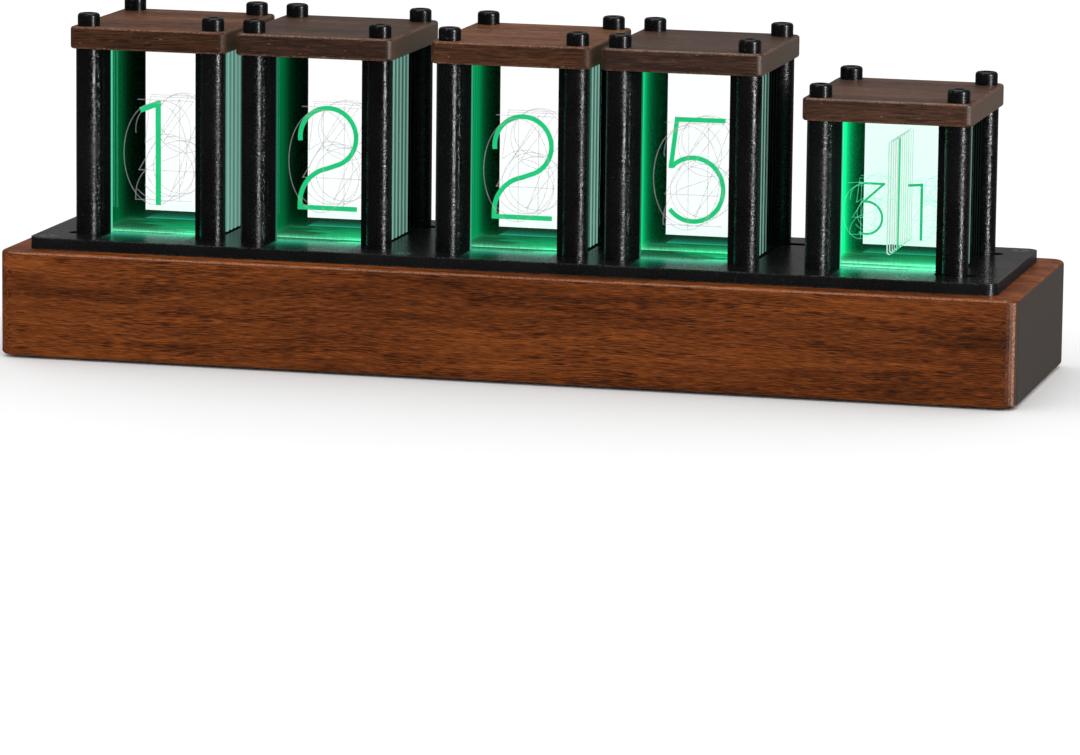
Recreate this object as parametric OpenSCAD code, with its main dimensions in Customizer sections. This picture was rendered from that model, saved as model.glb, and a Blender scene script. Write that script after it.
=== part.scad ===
// Desk clock with five stacks of edge-lit engraved panes on a wooden base.
// Frame: +Z up, front towards -Y, origin on the floor under the middle of the base.

/* [Base] */
// Length of the wooden base, left to right
base_w = 323; // [314:1:380]
// Depth of the wooden base, front to back
base_d = 90; // [88:1:120]
// Height of the wooden base
base_h = 33; // [32:1:50]
// Radius of the upright corners of the base
base_corner_r = 5.2; // [2.8:0.1:8]
// Radius along the top and bottom edges of the base
base_edge_r = 1.2; // [0.4:0.1:1.4]
// Wood left under the electronics pocket
floor_t = 6; // [5:0.5:8]
// Corner radius of the milled pocket
pocket_corner_r = 5; // [3:0.5:8]
// Room between the pane holders and the pocket wall
pocket_gap = 1.6; // [1:0.1:2]

/* [Feet] */
// Diameter of a rubber foot
foot_d = 14; // [8:0.5:18]
// Thickness of a rubber foot
foot_t = 2; // [1.5:0.1:3]
// How far a foot stands out under the base
foot_proud = 0.8; // [0.4:0.1:1.2]
// Distance of a foot's centre from the base's edges
foot_inset = 14; // [11:0.5:20]

/* [Deck] */
// Margin of bare wood at each end of the deck plate
deck_margin_end = 7.7; // [4:0.1:8]
// Margin of bare wood in front of and behind the deck plate
deck_margin_side = 6.8; // [5:0.2:8]
// Thickness of the deck plate
deck_t = 3.7; // [3:0.1:5]
// Corner radius of the deck plate
deck_corner_r = 4; // [2:0.5:6]
// Distance of a deck screw's centre from the plate's edges
deck_screw_inset = 5; // [4.4:0.1:5.6]
// Shank diameter of a deck screw
deck_screw_d = 3; // [2.5:0.1:3.4]
// Head diameter of a deck screw
deck_screw_head_d = 6; // [5.2:0.1:6.6]
// Length of a deck screw, head included
deck_screw_len = 12; // [9:0.5:12.5]
// Width of the slots that the posts stand over
slot_w = 4.8; // [4.6:0.1:5]
// How far a slot shows beside its post
slot_over = 2.6; // [1:0.1:3]
// Depth of the slots, milled from above
slot_depth = 2.4; // [1.5:0.1:2.8]

/* [Display modules] */
// Width of a pane in the four digit modules
pane_w = 40; // [36:0.5:42]
// Width of a pane in the date module
date_pane_w = 42; // [36:0.2:44]
// Thickness of a pane
pane_t = 2; // [2:0.1:2.8]
// Distance from pane to pane, front to back
pane_pitch = 4.1; // [3.6:0.1:4.2]
// Height of the posts of the digit modules
post_h = 58.7; // [45:0.1:80]
// Height of the posts of the date module
date_post_h = 46; // [44:0.1:70]
// Gap between the caps of a pair of digit modules
pair_gap = 3.4; // [3:0.1:6]
// Gap between the caps of two groups of modules
group_gap = 12.3; // [11:0.1:15]
// Height of the slot in a date pane over the deck
date_slot_z = 4.6; // [2:0.1:8]
// Length of the slot in a date pane
date_slot_len = 35; // [20:0.2:35]
// Width of the slot in a date pane
date_slot_w = 1.6; // [1:0.1:3]

/* [Posts] */
// Diameter of a post
post_d = 8; // [7.6:0.1:8.6]
// Distance from a post's axis out past the side edge of the panes
post_outset = 0.35; // [0:0.05:1]
// Reach of a post's flange from the post's axis
flange_w = 6.5; // [5:0.1:9]
// Thickness of a post's flange
flange_t = 1.6; // [1:0.1:2]

/* [Caps] */
// Thickness of a wooden cap
cap_t = 7; // [5:0.1:10]
// Overhang of a cap past its posts
cap_over = 1; // [0.1:0.1:1]
// Radius of the upright corners of a cap
cap_corner_r = 2.4; // [2.4:0.1:4]
// Radius along the top and bottom edges of a cap
cap_edge_r = 0.9; // [0.3:0.1:1.2]
// Depth of the grooves that hold the panes in a cap
groove_depth = 1; // [0.5:0.1:2]

/* [Screws of the modules] */
// Shank diameter of the cap and post screws
screw_d = 4; // [3.4:0.1:4.2]
// Head diameter of the cap and post screws
screw_head_d = 7; // [6.4:0.1:7.6]
// Head height of the cap and post screws
screw_head_h = 4; // [3:0.1:4]
// Rounding of the head's upper edge
screw_head_r = 1; // [0.4:0.1:1.4]
// Width across flats of the hexagon socket
socket_af = 3; // [2.5:0.1:3.4]
// Depth of the hexagon socket
socket_depth = 1.6; // [1:0.1:2]
// Length of a screw inside its post
screw_grip = 9; // [6:0.5:14]

/* [Pane holders and light boards] */
// Thickness of a pane holder under the deck
holder_t = 4; // [3:0.1:5]
// Width of the rails beside the panes
holder_rail = 1.5; // [1:0.1:2]
// Thickness of the ledge that the panes stand on
ledge_t = 1.2; // [1:0.1:1.6]
// Length of the ledge at each end of a pane
ledge_w = 3; // [2:0.1:5]
// Width of the bridge between the two light windows of a pane
bridge_w = 5; // [3:0.1:8]
// Thickness of the circuit boards
board_t = 1.6; // [1:0.1:2]
// Width of a light chip
led_w = 2.2; // [1.6:0.1:3]
// Depth of a light chip
led_d = 1.9; // [1.2:0.1:1.9]
// Height of a light chip
led_h = 0.85; // [0.5:0.05:0.95]

/* [Electronics] */
// Width of the main board
main_w = 58; // [54:0.5:60]
// Depth of the main board
main_d = 46; // [44:0.5:50]
// Height of the spacers under the main board
spacer_h = 5; // [3:0.1:6]
// Diameter of a spacer
spacer_d = 6; // [5.4:0.1:7]
// Shank diameter of a board screw
board_screw_d = 2.5; // [2:0.1:3]
// Head diameter of a board screw
board_screw_head_d = 4.6; // [4:0.1:5.2]
// Head height of a board screw
board_screw_head_h = 1.8; // [1.4:0.1:2.4]
// Distance of a board screw from the board's edges
board_screw_inset = 3.6; // [3.2:0.1:4]
// Length of a board screw in the wood
board_screw_bite = 3.6; // [2.5:0.1:4]
// Diameter of the backup cell
cell_d = 20; // [16:0.5:20]
// Thickness of the backup cell
cell_t = 3.2; // [1.6:0.1:4]
// Wall of the cell holder
cell_wall = 1.4; // [1:0.1:1.6]
// Width of the controller chip
chip_w = 10; // [6:0.5:12]
// Height of the controller chip
chip_h = 1.6; // [1:0.1:2.4]
// Width of the flat cables
ribbon_w = 8; // [5:0.5:9]
// Thickness of the flat cables
ribbon_t = 0.8; // [0.5:0.1:1]
// Length of a flat cable's end on its board
ribbon_tab = 5; // [3:0.5:6]

/* [Rear panel] */
// Width of the rear panel
panel_w = 76; // [74:0.5:90]
// Height of the rear panel
panel_h = 20; // [18.6:0.1:21]
// Thickness of the rear panel
panel_t = 2.5; // [2:0.1:3]
// How deep the rear panel lies behind the back of the base
panel_recess = 1.5; // [1.3:0.1:2.5]
// Width of the passage behind the rear panel
passage_w = 62; // [61:0.5:63]
// Height of the passage behind the rear panel
passage_h = 17; // [15:0.1:17.6]
// Shank diameter of a panel screw
panel_screw_d = 2.2; // [1.6:0.1:2.6]
// Head diameter of a panel screw
panel_screw_head_d = 4; // [3.4:0.1:4.4]
// Length of a panel screw, head included
panel_screw_len = 9; // [6:0.5:12]
// Position of the power socket, left or right of the middle
usb_x = -20; // [-22:0.5:-12]
// Width of the power socket's shell
usb_w = 8.94; // [8.4:0.02:9.4]
// Height of the power socket's shell
usb_h = 3.16; // [2.9:0.02:3.4]
// Length of the power socket's shell
usb_len = 7.4; // [6:0.1:9]
// Wall of the power socket's shell
usb_wall = 0.3; // [0.2:0.05:0.4]
// Position of the first button, right of the middle
button_x = 2; // [0:0.5:3]
// Distance from button to button
button_pitch = 10; // [9:0.1:10.5]
// Diameter of a button
button_d = 5; // [4:0.1:5.6]
// How far a button stands out of the rear panel
button_proud = 1.2; // [0.9:0.1:1.3]
// Diameter of a button's inner collar
collar_d = 7; // [6.6:0.1:8]
// Travel of a button
button_travel = 0.6; // [0.3:0.1:0.8]
// Width of a push switch
switch_w = 6; // [5:0.1:7]
// Depth of a push switch
switch_d = 4; // [3:0.1:5]
// Height of a push switch
switch_h = 6; // [5.6:0.1:6.4]

/* [Hidden] */

// Fineness of round faces and of the rounded corners of wooden pieces
$fn = 64;
corner_fn = 32;
hex_fn = 6;

// Clearances
screw_clear = 0.2;
thread_clear = 0.1;
pane_clear = 0.15;
pane_fit = 0.2;
insert_fit = 0.1;
foot_clear = 0.15;
panel_clear = 0.2;
button_clear = 0.3;
collar_gap = 0.2;
stop_gap = 0.35;
cell_clear = 0.2;
usb_clear = 0.3;
hole_runout = 0.6;
cut = 1;

// The ten figures of a module, and its modules from left to right
pane_count = 10;
module_count = 5;
hour_tens_index = 0;
hour_ones_index = 1;
minute_tens_index = 2;
minute_ones_index = 3;
date_index = 4;

// Levels, from the floor up
base_z = foot_proud;
floor_z = base_z + floor_t;
deck_z = base_z + base_h;
deck_top = deck_z + deck_t;
holder_z = deck_z - holder_t;
led_board_z = holder_z - board_t;
pane_z = holder_z + ledge_t;

// Plan of a module
stack_d = pane_pitch * (pane_count - 1) + pane_t;
post_r = post_d / 2;
post_dy = stack_d / 2 + pane_fit + post_r;
cap_d = 2 * (post_dy + post_r + cap_over);
holder_d = 2 * (post_dy + post_r);
function pane_width(m) = m == date_index ? date_pane_w : pane_w;
function post_height(m) = m == date_index ? date_post_h : post_h;
function post_dx(m) = pane_width(m) / 2 + post_outset;
function cap_width(m) = 2 * (post_dx(m) + post_r + cap_over);
function holder_width(m) = 2 * (post_dx(m) + post_r);
function cap_z(m) = deck_top + post_height(m);

// Row of modules, centred on the base
function gap_before(m) = m == 0 ? 0 : (m == hour_ones_index || m == minute_ones_index) ? pair_gap : group_gap;
function row_end(m) = m < 0 ? 0 : row_end(m - 1) + gap_before(m) + cap_width(m);
row_w = row_end(module_count - 1);
function module_x(m) = row_end(m) - cap_width(m) / 2 - row_w / 2;
function axis_x(m, side) = module_x(m) + side * post_dx(m);

// Deck, its screws and the pocket under it
deck_w = base_w - 2 * deck_margin_end;
deck_d = base_d - 2 * deck_margin_side;
deck_screw_head_h = (deck_screw_head_d - deck_screw_d) / 2;
deck_screw_x = deck_w / 2 - deck_screw_inset;
deck_screw_y = deck_d / 2 - deck_screw_inset;
group_gap_x = (module_x(hour_ones_index) + cap_width(hour_ones_index) / 2
    + module_x(minute_tens_index) - cap_width(minute_tens_index) / 2) / 2;
deck_screw_places = [for (x = [-deck_screw_x, group_gap_x, deck_screw_x], y = [-1, 1]) [x, y * deck_screw_y]];
pocket_x0 = module_x(hour_tens_index) - holder_width(hour_tens_index) / 2 - pocket_gap;
pocket_x1 = module_x(date_index) + holder_width(date_index) / 2 + pocket_gap;
pocket_d = holder_d + 2 * pocket_gap;

// Rear panel, main board and what stands on it
panel_y = base_d / 2 - panel_recess;
panel_inner_y = panel_y - panel_t;
panel_z = floor_z + passage_h / 2;
panel_screw_x = (panel_w + passage_w) / 4;
panel_screw_head_h = (panel_screw_head_d - panel_screw_d) / 2;
collar_t = 1;
board_gap = collar_gap + collar_t + button_travel + stop_gap;
main_y1 = panel_inner_y - board_gap;
main_y0 = main_y1 - main_d;
main_z = floor_z + spacer_h;
main_top = main_z + board_t;
switch_setback = 3.5;
switch_y = panel_inner_y - switch_setback;
board_screw_setback = switch_setback + switch_d + board_screw_head_d;
board_screw_places = [for (x = [-1, 1], y = [main_y0 + board_screw_inset, main_y1 - board_screw_setback])
    [x * (main_w / 2 - board_screw_inset), y]];
cell_holder_d = cell_d + 2 * (cell_clear + cell_wall);
cell_floor = 1;
part_gap = 1;
cell_x = -(ribbon_w + cell_holder_d) / 2 - part_gap;
cell_y = main_y0 + cell_holder_d / 2 + 2 * board_screw_inset;
chip_x = (ribbon_w + chip_w) / 2 + part_gap;
ribbon_y = cell_y;
usb_lip = 0.5;
usb_y1 = panel_y - usb_lip;
usb_z = main_top + usb_h / 2;
usb_tongue_w = 6.4;
usb_tongue_t = 0.7;
button_z = main_top + switch_h / 2;
button_pin_d = 3;
button_seat_y = panel_inner_y - collar_gap;

// Rounded rectangle, centred, with true arcs at its corners
module round_rect(w, d, r) {
    square([w - 2 * r, d], center = true);
    square([w, d - 2 * r], center = true);
    for (x = [-1, 1], y = [-1, 1])
        translate([x * (w / 2 - r), y * (d / 2 - r)])
            circle(r);
}

// Flat disc with a rounded rim, the corner of a wooden piece
module corner_puck(r, h, edge_r) {
    rotate_extrude($fn = corner_fn)
        union() {
            square([r - edge_r, h]);
            translate([0, edge_r])
                square([r, h - 2 * edge_r]);
            for (z = [edge_r, h - edge_r])
                translate([r - edge_r, z])
                    circle(edge_r, $fn = corner_fn);
        }
}

// Wooden block with rounded corners and edges, standing on the XY plane
module wooden_block(w, d, h, corner_r, edge_r) {
    hull()
        for (x = [-1, 1], y = [-1, 1])
            translate([x * (w / 2 - corner_r), y * (d / 2 - corner_r), 0])
                corner_puck(corner_r, h, edge_r);
}

// Straight slot with round ends between two points of one row
module slot(x0, x1, y, w, h) {
    translate([(x0 + x1) / 2, y, h / 2])
        cube([max(x1 - x0, w / 2), w, h], center = true);
    for (x = [x0, x1])
        translate([x, y, 0])
            cylinder(d = w, h = h);
}

// Countersunk screw pointing down, its flat head level with the XY plane
module flat_screw(d, head_d, head_h, length, drive_d) {
    difference() {
        union() {
            translate([0, 0, -head_h])
                cylinder(d1 = d, d2 = head_d, h = head_h);
            translate([0, 0, -length])
                cylinder(d = d, h = length);
        }
        translate([0, 0, -head_h / 2])
            cylinder(d = drive_d, h = head_h, $fn = hex_fn);
    }
}

// Hole for a countersunk screw, through a plate of the given thickness
module flat_screw_hole(d, head_d, head_h, thickness) {
    translate([0, 0, -thickness - cut])
        cylinder(d = d + 2 * screw_clear, h = thickness + 2 * cut);
    translate([0, 0, -head_h])
        cylinder(d1 = d, d2 = head_d, h = head_h);
    cylinder(d = head_d, h = cut);
}

// Socket screw pointing down, its head standing on the XY plane
module socket_screw(length) {
    head_r = screw_head_d / 2;
    difference() {
        union() {
            rotate_extrude()
                union() {
                    square([head_r, screw_head_h - screw_head_r]);
                    square([head_r - screw_head_r, screw_head_h]);
                    translate([head_r - screw_head_r, screw_head_h - screw_head_r])
                        circle(screw_head_r);
                }
            translate([0, 0, -length])
                cylinder(d = screw_d, h = length);
        }
        translate([0, 0, screw_head_h - socket_depth])
            cylinder(d = socket_af / cos(180 / hex_fn), h = socket_depth + cut, $fn = hex_fn);
    }
}

// Places children at the four posts of a module, mirrored so that +X and +Y point inwards
module at_posts(m) {
    for (x = [-1, 1], y = [-1, 1])
        translate([module_x(m) + x * post_dx(m), y * post_dy, 0])
            mirror([x > 0 ? 1 : 0, 0, 0])
                mirror([0, y > 0 ? 1 : 0, 0])
                    children();
}

// Places children at the ten panes of a module, front to back
module at_panes(m) {
    for (i = [0 : pane_count - 1])
        translate([module_x(m), (i - (pane_count - 1) / 2) * pane_pitch, 0])
            children();
}

module base_block() {
    color("#6b3a20")
        difference() {
            translate([0, 0, base_z])
                wooden_block(base_w, base_d, base_h, base_corner_r, base_edge_r);
            translate([(pocket_x0 + pocket_x1) / 2, 0, floor_z])
                linear_extrude(base_h)
                    round_rect(pocket_x1 - pocket_x0, pocket_d, pocket_corner_r);
            translate([-passage_w / 2, 0, floor_z])
                cube([passage_w, base_d, passage_h]);
            translate([0, panel_inner_y, panel_z])
                rotate([-90, 0, 0])
                    linear_extrude(base_d)
                        square([panel_w + 2 * panel_clear, panel_h + 2 * panel_clear], center = true);
            for (x = [-1, 1])
                translate([x * panel_screw_x, panel_y - panel_screw_len - hole_runout, panel_z])
                    rotate([-90, 0, 0])
                        cylinder(d = panel_screw_d + 2 * thread_clear, h = panel_screw_len);
            for (p = deck_screw_places)
                translate([p[0], p[1], deck_top - deck_screw_len - hole_runout])
                    cylinder(d = deck_screw_d + 2 * thread_clear, h = deck_screw_len);
            for (p = board_screw_places)
                translate([p[0], p[1], floor_z - board_screw_bite - hole_runout])
                    cylinder(d = board_screw_d + 2 * thread_clear, h = floor_t);
            for (x = [-1, 1], y = [-1, 1])
                translate([x * (base_w / 2 - foot_inset), y * (base_d / 2 - foot_inset), 0])
                    cylinder(d = foot_d + 2 * foot_clear, h = foot_t);
        }
}

module rubber_feet() {
    color("#202020")
        for (x = [-1, 1], y = [-1, 1])
            translate([x * (base_w / 2 - foot_inset), y * (base_d / 2 - foot_inset), 0])
                cylinder(d = foot_d, h = foot_t);
}

// Window of the deck round one pane holder
module deck_window(m) {
    w = pane_width(m) + 2 * (pane_clear + holder_rail + insert_fit);
    translate([module_x(m), 0, deck_z + deck_t / 2])
        cube([w, stack_d + 2 * pane_clear, deck_t + 2 * cut], center = true);
}

// Blind slot of the deck from one post axis to another, shown past the posts at its ends
module deck_slot(x0, x1, y) {
    over = post_r + slot_over - slot_w / 2;
    translate([0, 0, deck_top - slot_depth])
        slot(x0 - over, x1 + over, y, slot_w, slot_depth + cut);
}

module deck_plate() {
    last = module_count - 1;
    color("#1b1c1d")
        difference() {
            translate([0, 0, deck_z])
                linear_extrude(deck_t)
                    round_rect(deck_w, deck_d, deck_corner_r);
            for (m = [0 : last]) {
                deck_window(m);
                at_posts(m)
                    translate([0, 0, deck_z - cut])
                        cylinder(d = screw_d + 2 * screw_clear, h = deck_t + 2 * cut);
            }
            for (p = deck_screw_places)
                translate([p[0], p[1], deck_top])
                    flat_screw_hole(deck_screw_d, deck_screw_head_d, deck_screw_head_h, deck_t);
            deck_slot(axis_x(0, -1), axis_x(0, -1), -post_dy);
            deck_slot(axis_x(0, -1), axis_x(0, -1), post_dy);
            deck_slot(axis_x(last, 1), axis_x(last, 1), -post_dy);
            deck_slot(axis_x(last, 1), axis_x(last, 1), post_dy);
            for (m = [1 : last])
                deck_slot(axis_x(m - 1, 1), axis_x(m, -1), post_dy);
        }
}

module deck_screws() {
    color("#26272a")
        for (p = deck_screw_places)
            translate([p[0], p[1], deck_top])
                flat_screw(deck_screw_d, deck_screw_head_d, deck_screw_head_h, deck_screw_len,
                    deck_screw_d / 2);
}

// Round post with a flat flange that covers the margin of the end pane
module post(h) {
    bore_d = screw_d + 2 * thread_clear;
    bore_depth = screw_grip + hole_runout;
    difference() {
        linear_extrude(h)
            union() {
                circle(post_r);
                translate([0, post_r - flange_t])
                    square([flange_w, flange_t]);
            }
        translate([0, 0, h - bore_depth])
            cylinder(d = bore_d, h = bore_depth + cut);
        translate([0, 0, -cut])
            cylinder(d = bore_d, h = bore_depth + cut);
    }
}

module posts(m) {
    color("#17181a")
        translate([0, 0, deck_top])
            at_posts(m)
                post(post_height(m));
}

module cap(m) {
    groove_w = pane_width(m) + 2 * pane_clear;
    groove_d = pane_t + 2 * pane_clear;
    color("#5a3320")
        difference() {
            translate([module_x(m), 0, cap_z(m)])
                wooden_block(cap_width(m), cap_d, cap_t, cap_corner_r, cap_edge_r);
            translate([0, 0, cap_z(m) - cut])
                at_posts(m)
                    cylinder(d = screw_d + 2 * screw_clear, h = cap_t + 2 * cut);
            translate([0, 0, cap_z(m)])
                at_panes(m)
                    cube([groove_w, groove_d, 2 * groove_depth], center = true);
        }
}

module cap_screws(m) {
    color("#0f1011")
        translate([0, 0, cap_z(m) + cap_t])
            at_posts(m)
                socket_screw(cap_t + screw_grip);
}

module post_screws(m) {
    color("#3a3b3e")
        translate([0, 0, led_board_z])
            mirror([0, 0, 1])
                at_posts(m)
                    socket_screw(board_t + holder_t + deck_t + screw_grip);
}

// Clear pane standing on its ledge, with a round-ended slot in the date module
module pane(m) {
    h = cap_z(m) + groove_depth - pane_z;
    w = date_slot_w;
    difference() {
        translate([-pane_width(m) / 2, -pane_t / 2, pane_z])
            cube([pane_width(m), pane_t, h]);
        if (m == date_index)
            translate([0, pane_t, deck_top + date_slot_z])
                rotate([90, 0, 0])
                    linear_extrude(2 * pane_t)
                        union() {
                            translate([-w / 2, w / 2])
                                square([w, date_slot_len - w]);
                            for (z = [w / 2, date_slot_len - w / 2])
                                translate([0, z])
                                    circle(d = w);
                        }
    }
}

module panes(m) {
    color("#bfeadd", 0.5)
        at_panes(m)
            pane(m);
}

// Comb that fills the deck window and carries the panes on ledges over the light chips
module pane_holder(m) {
    insert_w = pane_width(m) + 2 * (pane_clear + holder_rail);
    insert_d = stack_d + 2 * (pane_clear - insert_fit);
    window_w = (pane_width(m) - bridge_w) / 2 - ledge_w;
    color("#141516")
        difference() {
            union() {
                translate([module_x(m) - holder_width(m) / 2, -holder_d / 2, holder_z])
                    cube([holder_width(m), holder_d, holder_t]);
                translate([module_x(m) - insert_w / 2, -insert_d / 2, holder_z])
                    cube([insert_w, insert_d, holder_t + deck_t]);
            }
            at_panes(m) {
                translate([-pane_width(m) / 2 - pane_clear, -pane_t / 2 - pane_clear, pane_z])
                    cube([pane_width(m) + 2 * pane_clear, pane_t + 2 * pane_clear, holder_t + deck_t]);
                for (side = [-1, 1])
                    translate([side * (bridge_w + window_w) / 2, 0, holder_z])
                        cube([window_w, pane_t, 2 * holder_t], center = true);
            }
            translate([0, 0, holder_z - cut])
                at_posts(m)
                    cylinder(d = screw_d + 2 * screw_clear, h = holder_t + 2 * cut);
        }
}

module led_board(m) {
    color("#14401f")
        difference() {
            translate([module_x(m) - holder_width(m) / 2, -holder_d / 2, led_board_z])
                cube([holder_width(m), holder_d, board_t]);
            translate([0, 0, led_board_z - cut])
                at_posts(m)
                    cylinder(d = screw_d + 2 * screw_clear, h = board_t + 2 * cut);
        }
}

// Two light chips under each pane
module leds(m) {
    color("#e8efe6")
        at_panes(m)
            for (side = [-1, 1])
                translate([side * pane_width(m) / 4 - led_w / 2, -led_d / 2, holder_z])
                    cube([led_w, led_d, led_h]);
}

module main_board() {
    color("#14401f")
        difference() {
            translate([-main_w / 2, main_y0, main_z])
                cube([main_w, main_d, board_t]);
            for (p = board_screw_places)
                translate([p[0], p[1], main_z - cut])
                    cylinder(d = board_screw_d + 2 * screw_clear, h = board_t + 2 * cut);
        }
}

module controller_chip() {
    color("#1c1d1f")
        translate([chip_x - chip_w / 2, cell_y - chip_w / 2, main_top])
            cube([chip_w, chip_w, chip_h]);
}

module board_spacers() {
    color("#c9b06a")
        for (p = board_screw_places)
            translate([p[0], p[1], floor_z])
                difference() {
                    cylinder(d = spacer_d, h = spacer_h);
                    translate([0, 0, -cut])
                        cylinder(d = board_screw_d + 2 * screw_clear, h = spacer_h + 2 * cut);
                }
}

module board_screws() {
    length = board_t + spacer_h + board_screw_bite;
    color("#b8babd")
        for (p = board_screw_places)
            translate([p[0], p[1], main_top]) {
                cylinder(d = board_screw_head_d, h = board_screw_head_h);
                translate([0, 0, -length])
                    cylinder(d = board_screw_d, h = length);
            }
}

module backup_cell() {
    color("#c6c8cb")
        translate([cell_x, cell_y, main_top + cell_floor])
            cylinder(d = cell_d, h = cell_t);
}

module cell_holder() {
    color("#202124")
        translate([cell_x, cell_y, main_top])
            difference() {
                cylinder(d = cell_holder_d, h = cell_floor + cell_t);
                translate([0, 0, cell_floor])
                    cylinder(d = cell_d + 2 * cell_clear, h = cell_t + cut);
            }
}

// Flat cables from light board to light board, and one down to the main board
module ribbon_cables() {
    color("#8f9296") {
        for (m = [1 : module_count - 1]) {
            x0 = module_x(m - 1) + holder_width(m - 1) / 2 - ribbon_tab;
            x1 = module_x(m) - holder_width(m) / 2 + ribbon_tab;
            translate([x0, -ribbon_w / 2, led_board_z - ribbon_t])
                cube([x1 - x0, ribbon_w, ribbon_t]);
        }
        drop = led_board_z - main_top;
        translate([-ribbon_w / 2, ribbon_y, main_top])
            difference() {
                cube([ribbon_w, ribbon_tab, drop]);
                translate([-cut, ribbon_t, ribbon_t])
                    cube([ribbon_w + 2 * cut, ribbon_tab, drop - 2 * ribbon_t]);
            }
    }
}

// Stadium outline of the power socket, grown by a margin
module socket_outline(grow) {
    w = usb_w + 2 * grow;
    h = usb_h + 2 * grow;
    square([w - h, h], center = true);
    for (x = [-1, 1])
        translate([x * (w - h) / 2, 0])
            circle(d = h);
}

module rear_panel() {
    color("#18191b")
        difference() {
            translate([0, panel_inner_y, panel_z])
                rotate([-90, 0, 0])
                    linear_extrude(panel_t)
                        square([panel_w, panel_h], center = true);
            translate([usb_x, panel_inner_y - cut, usb_z])
                rotate([-90, 0, 0])
                    linear_extrude(panel_t + 2 * cut)
                        socket_outline(usb_clear);
            for (i = [0 : 2])
                translate([button_x + i * button_pitch, panel_inner_y - cut, button_z])
                    rotate([-90, 0, 0])
                        cylinder(d = button_d + 2 * button_clear, h = panel_t + 2 * cut);
            for (x = [-1, 1])
                translate([x * panel_screw_x, panel_y, panel_z])
                    rotate([-90, 0, 0])
                        flat_screw_hole(panel_screw_d, panel_screw_head_d, panel_screw_head_h, panel_t);
        }
}

module panel_screws() {
    color("#2b2c2f")
        for (x = [-1, 1])
            translate([x * panel_screw_x, panel_y, panel_z])
                rotate([-90, 0, 0])
                    flat_screw(panel_screw_d, panel_screw_head_d, panel_screw_head_h, panel_screw_len,
                        panel_screw_d / 2);
}

// Metal shell with a contact tongue, its mouth to the rear
module usb_socket() {
    color("#b9bcc0")
        translate([usb_x, usb_y1, usb_z])
            rotate([90, 0, 0])
                union() {
                    difference() {
                        linear_extrude(usb_len)
                            socket_outline(0);
                        translate([0, 0, -cut])
                            linear_extrude(usb_len + cut - usb_wall)
                                socket_outline(-usb_wall);
                    }
                    translate([0, 0, usb_len / 2])
                        cube([usb_tongue_w, usb_tongue_t, usb_len - 2 * usb_lip], center = true);
                    translate([0, 0, usb_len - usb_lip])
                        linear_extrude(usb_lip)
                            socket_outline(0);
                }
}

module push_switches() {
    color("#2a2b2e")
        for (i = [0 : 2])
            translate([button_x + i * button_pitch - switch_w / 2, switch_y - switch_d, main_top])
                cube([switch_w, switch_d, switch_h]);
}

// Button with a collar behind the panel and a pin towards its switch
module button(i) {
    pin_end = switch_y + button_travel + stop_gap;
    color("#0c0d0e")
        translate([button_x + i * button_pitch, 0, button_z])
            rotate([-90, 0, 0]) {
                translate([0, 0, button_seat_y])
                    cylinder(d = button_d, h = panel_y + button_proud - button_seat_y);
                translate([0, 0, button_seat_y - collar_t])
                    cylinder(d = collar_d, h = collar_t);
                translate([0, 0, pin_end])
                    cylinder(d = button_pin_d, h = button_seat_y - collar_t - pin_end);
            }
}

base_block();
rubber_feet();
deck_plate();
deck_screws();
posts(hour_tens_index);  // hour_tens_posts
cap(hour_tens_index);  // hour_tens_cap
cap_screws(hour_tens_index);  // hour_tens_cap_screws
post_screws(hour_tens_index);  // hour_tens_post_screws
panes(hour_tens_index);  // hour_tens_panes
pane_holder(hour_tens_index);  // hour_tens_pane_holder
led_board(hour_tens_index);  // hour_tens_led_board
leds(hour_tens_index);  // hour_tens_leds
posts(hour_ones_index);  // hour_ones_posts
cap(hour_ones_index);  // hour_ones_cap
cap_screws(hour_ones_index);  // hour_ones_cap_screws
post_screws(hour_ones_index);  // hour_ones_post_screws
panes(hour_ones_index);  // hour_ones_panes
pane_holder(hour_ones_index);  // hour_ones_pane_holder
led_board(hour_ones_index);  // hour_ones_led_board
leds(hour_ones_index);  // hour_ones_leds
posts(minute_tens_index);  // minute_tens_posts
cap(minute_tens_index);  // minute_tens_cap
cap_screws(minute_tens_index);  // minute_tens_cap_screws
post_screws(minute_tens_index);  // minute_tens_post_screws
panes(minute_tens_index);  // minute_tens_panes
pane_holder(minute_tens_index);  // minute_tens_pane_holder
led_board(minute_tens_index);  // minute_tens_led_board
leds(minute_tens_index);  // minute_tens_leds
posts(minute_ones_index);  // minute_ones_posts
cap(minute_ones_index);  // minute_ones_cap
cap_screws(minute_ones_index);  // minute_ones_cap_screws
post_screws(minute_ones_index);  // minute_ones_post_screws
panes(minute_ones_index);  // minute_ones_panes
pane_holder(minute_ones_index);  // minute_ones_pane_holder
led_board(minute_ones_index);  // minute_ones_led_board
leds(minute_ones_index);  // minute_ones_leds
posts(date_index);  // date_posts
cap(date_index);  // date_cap
cap_screws(date_index);  // date_cap_screws
post_screws(date_index);  // date_post_screws
panes(date_index);  // date_panes
pane_holder(date_index);  // date_pane_holder
led_board(date_index);  // date_led_board
leds(date_index);  // date_leds
main_board();
controller_chip();
board_spacers();
board_screws();
backup_cell();
cell_holder();
ribbon_cables();
rear_panel();
panel_screws();
usb_socket();
push_switches();
button(0);  // hour_button
button(1);  // minute_button
button(2);  // mode_button
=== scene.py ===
"""Desk clock with edge-lit figure panes.

Adds finishes, figures, studio and camera to the clock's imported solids.
"""

import logging
import math
from dataclasses import dataclass, replace
from enum import Enum
from typing import Any, ClassVar

import bmesh
import bpy
from mathutils import Matrix, Vector


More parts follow.
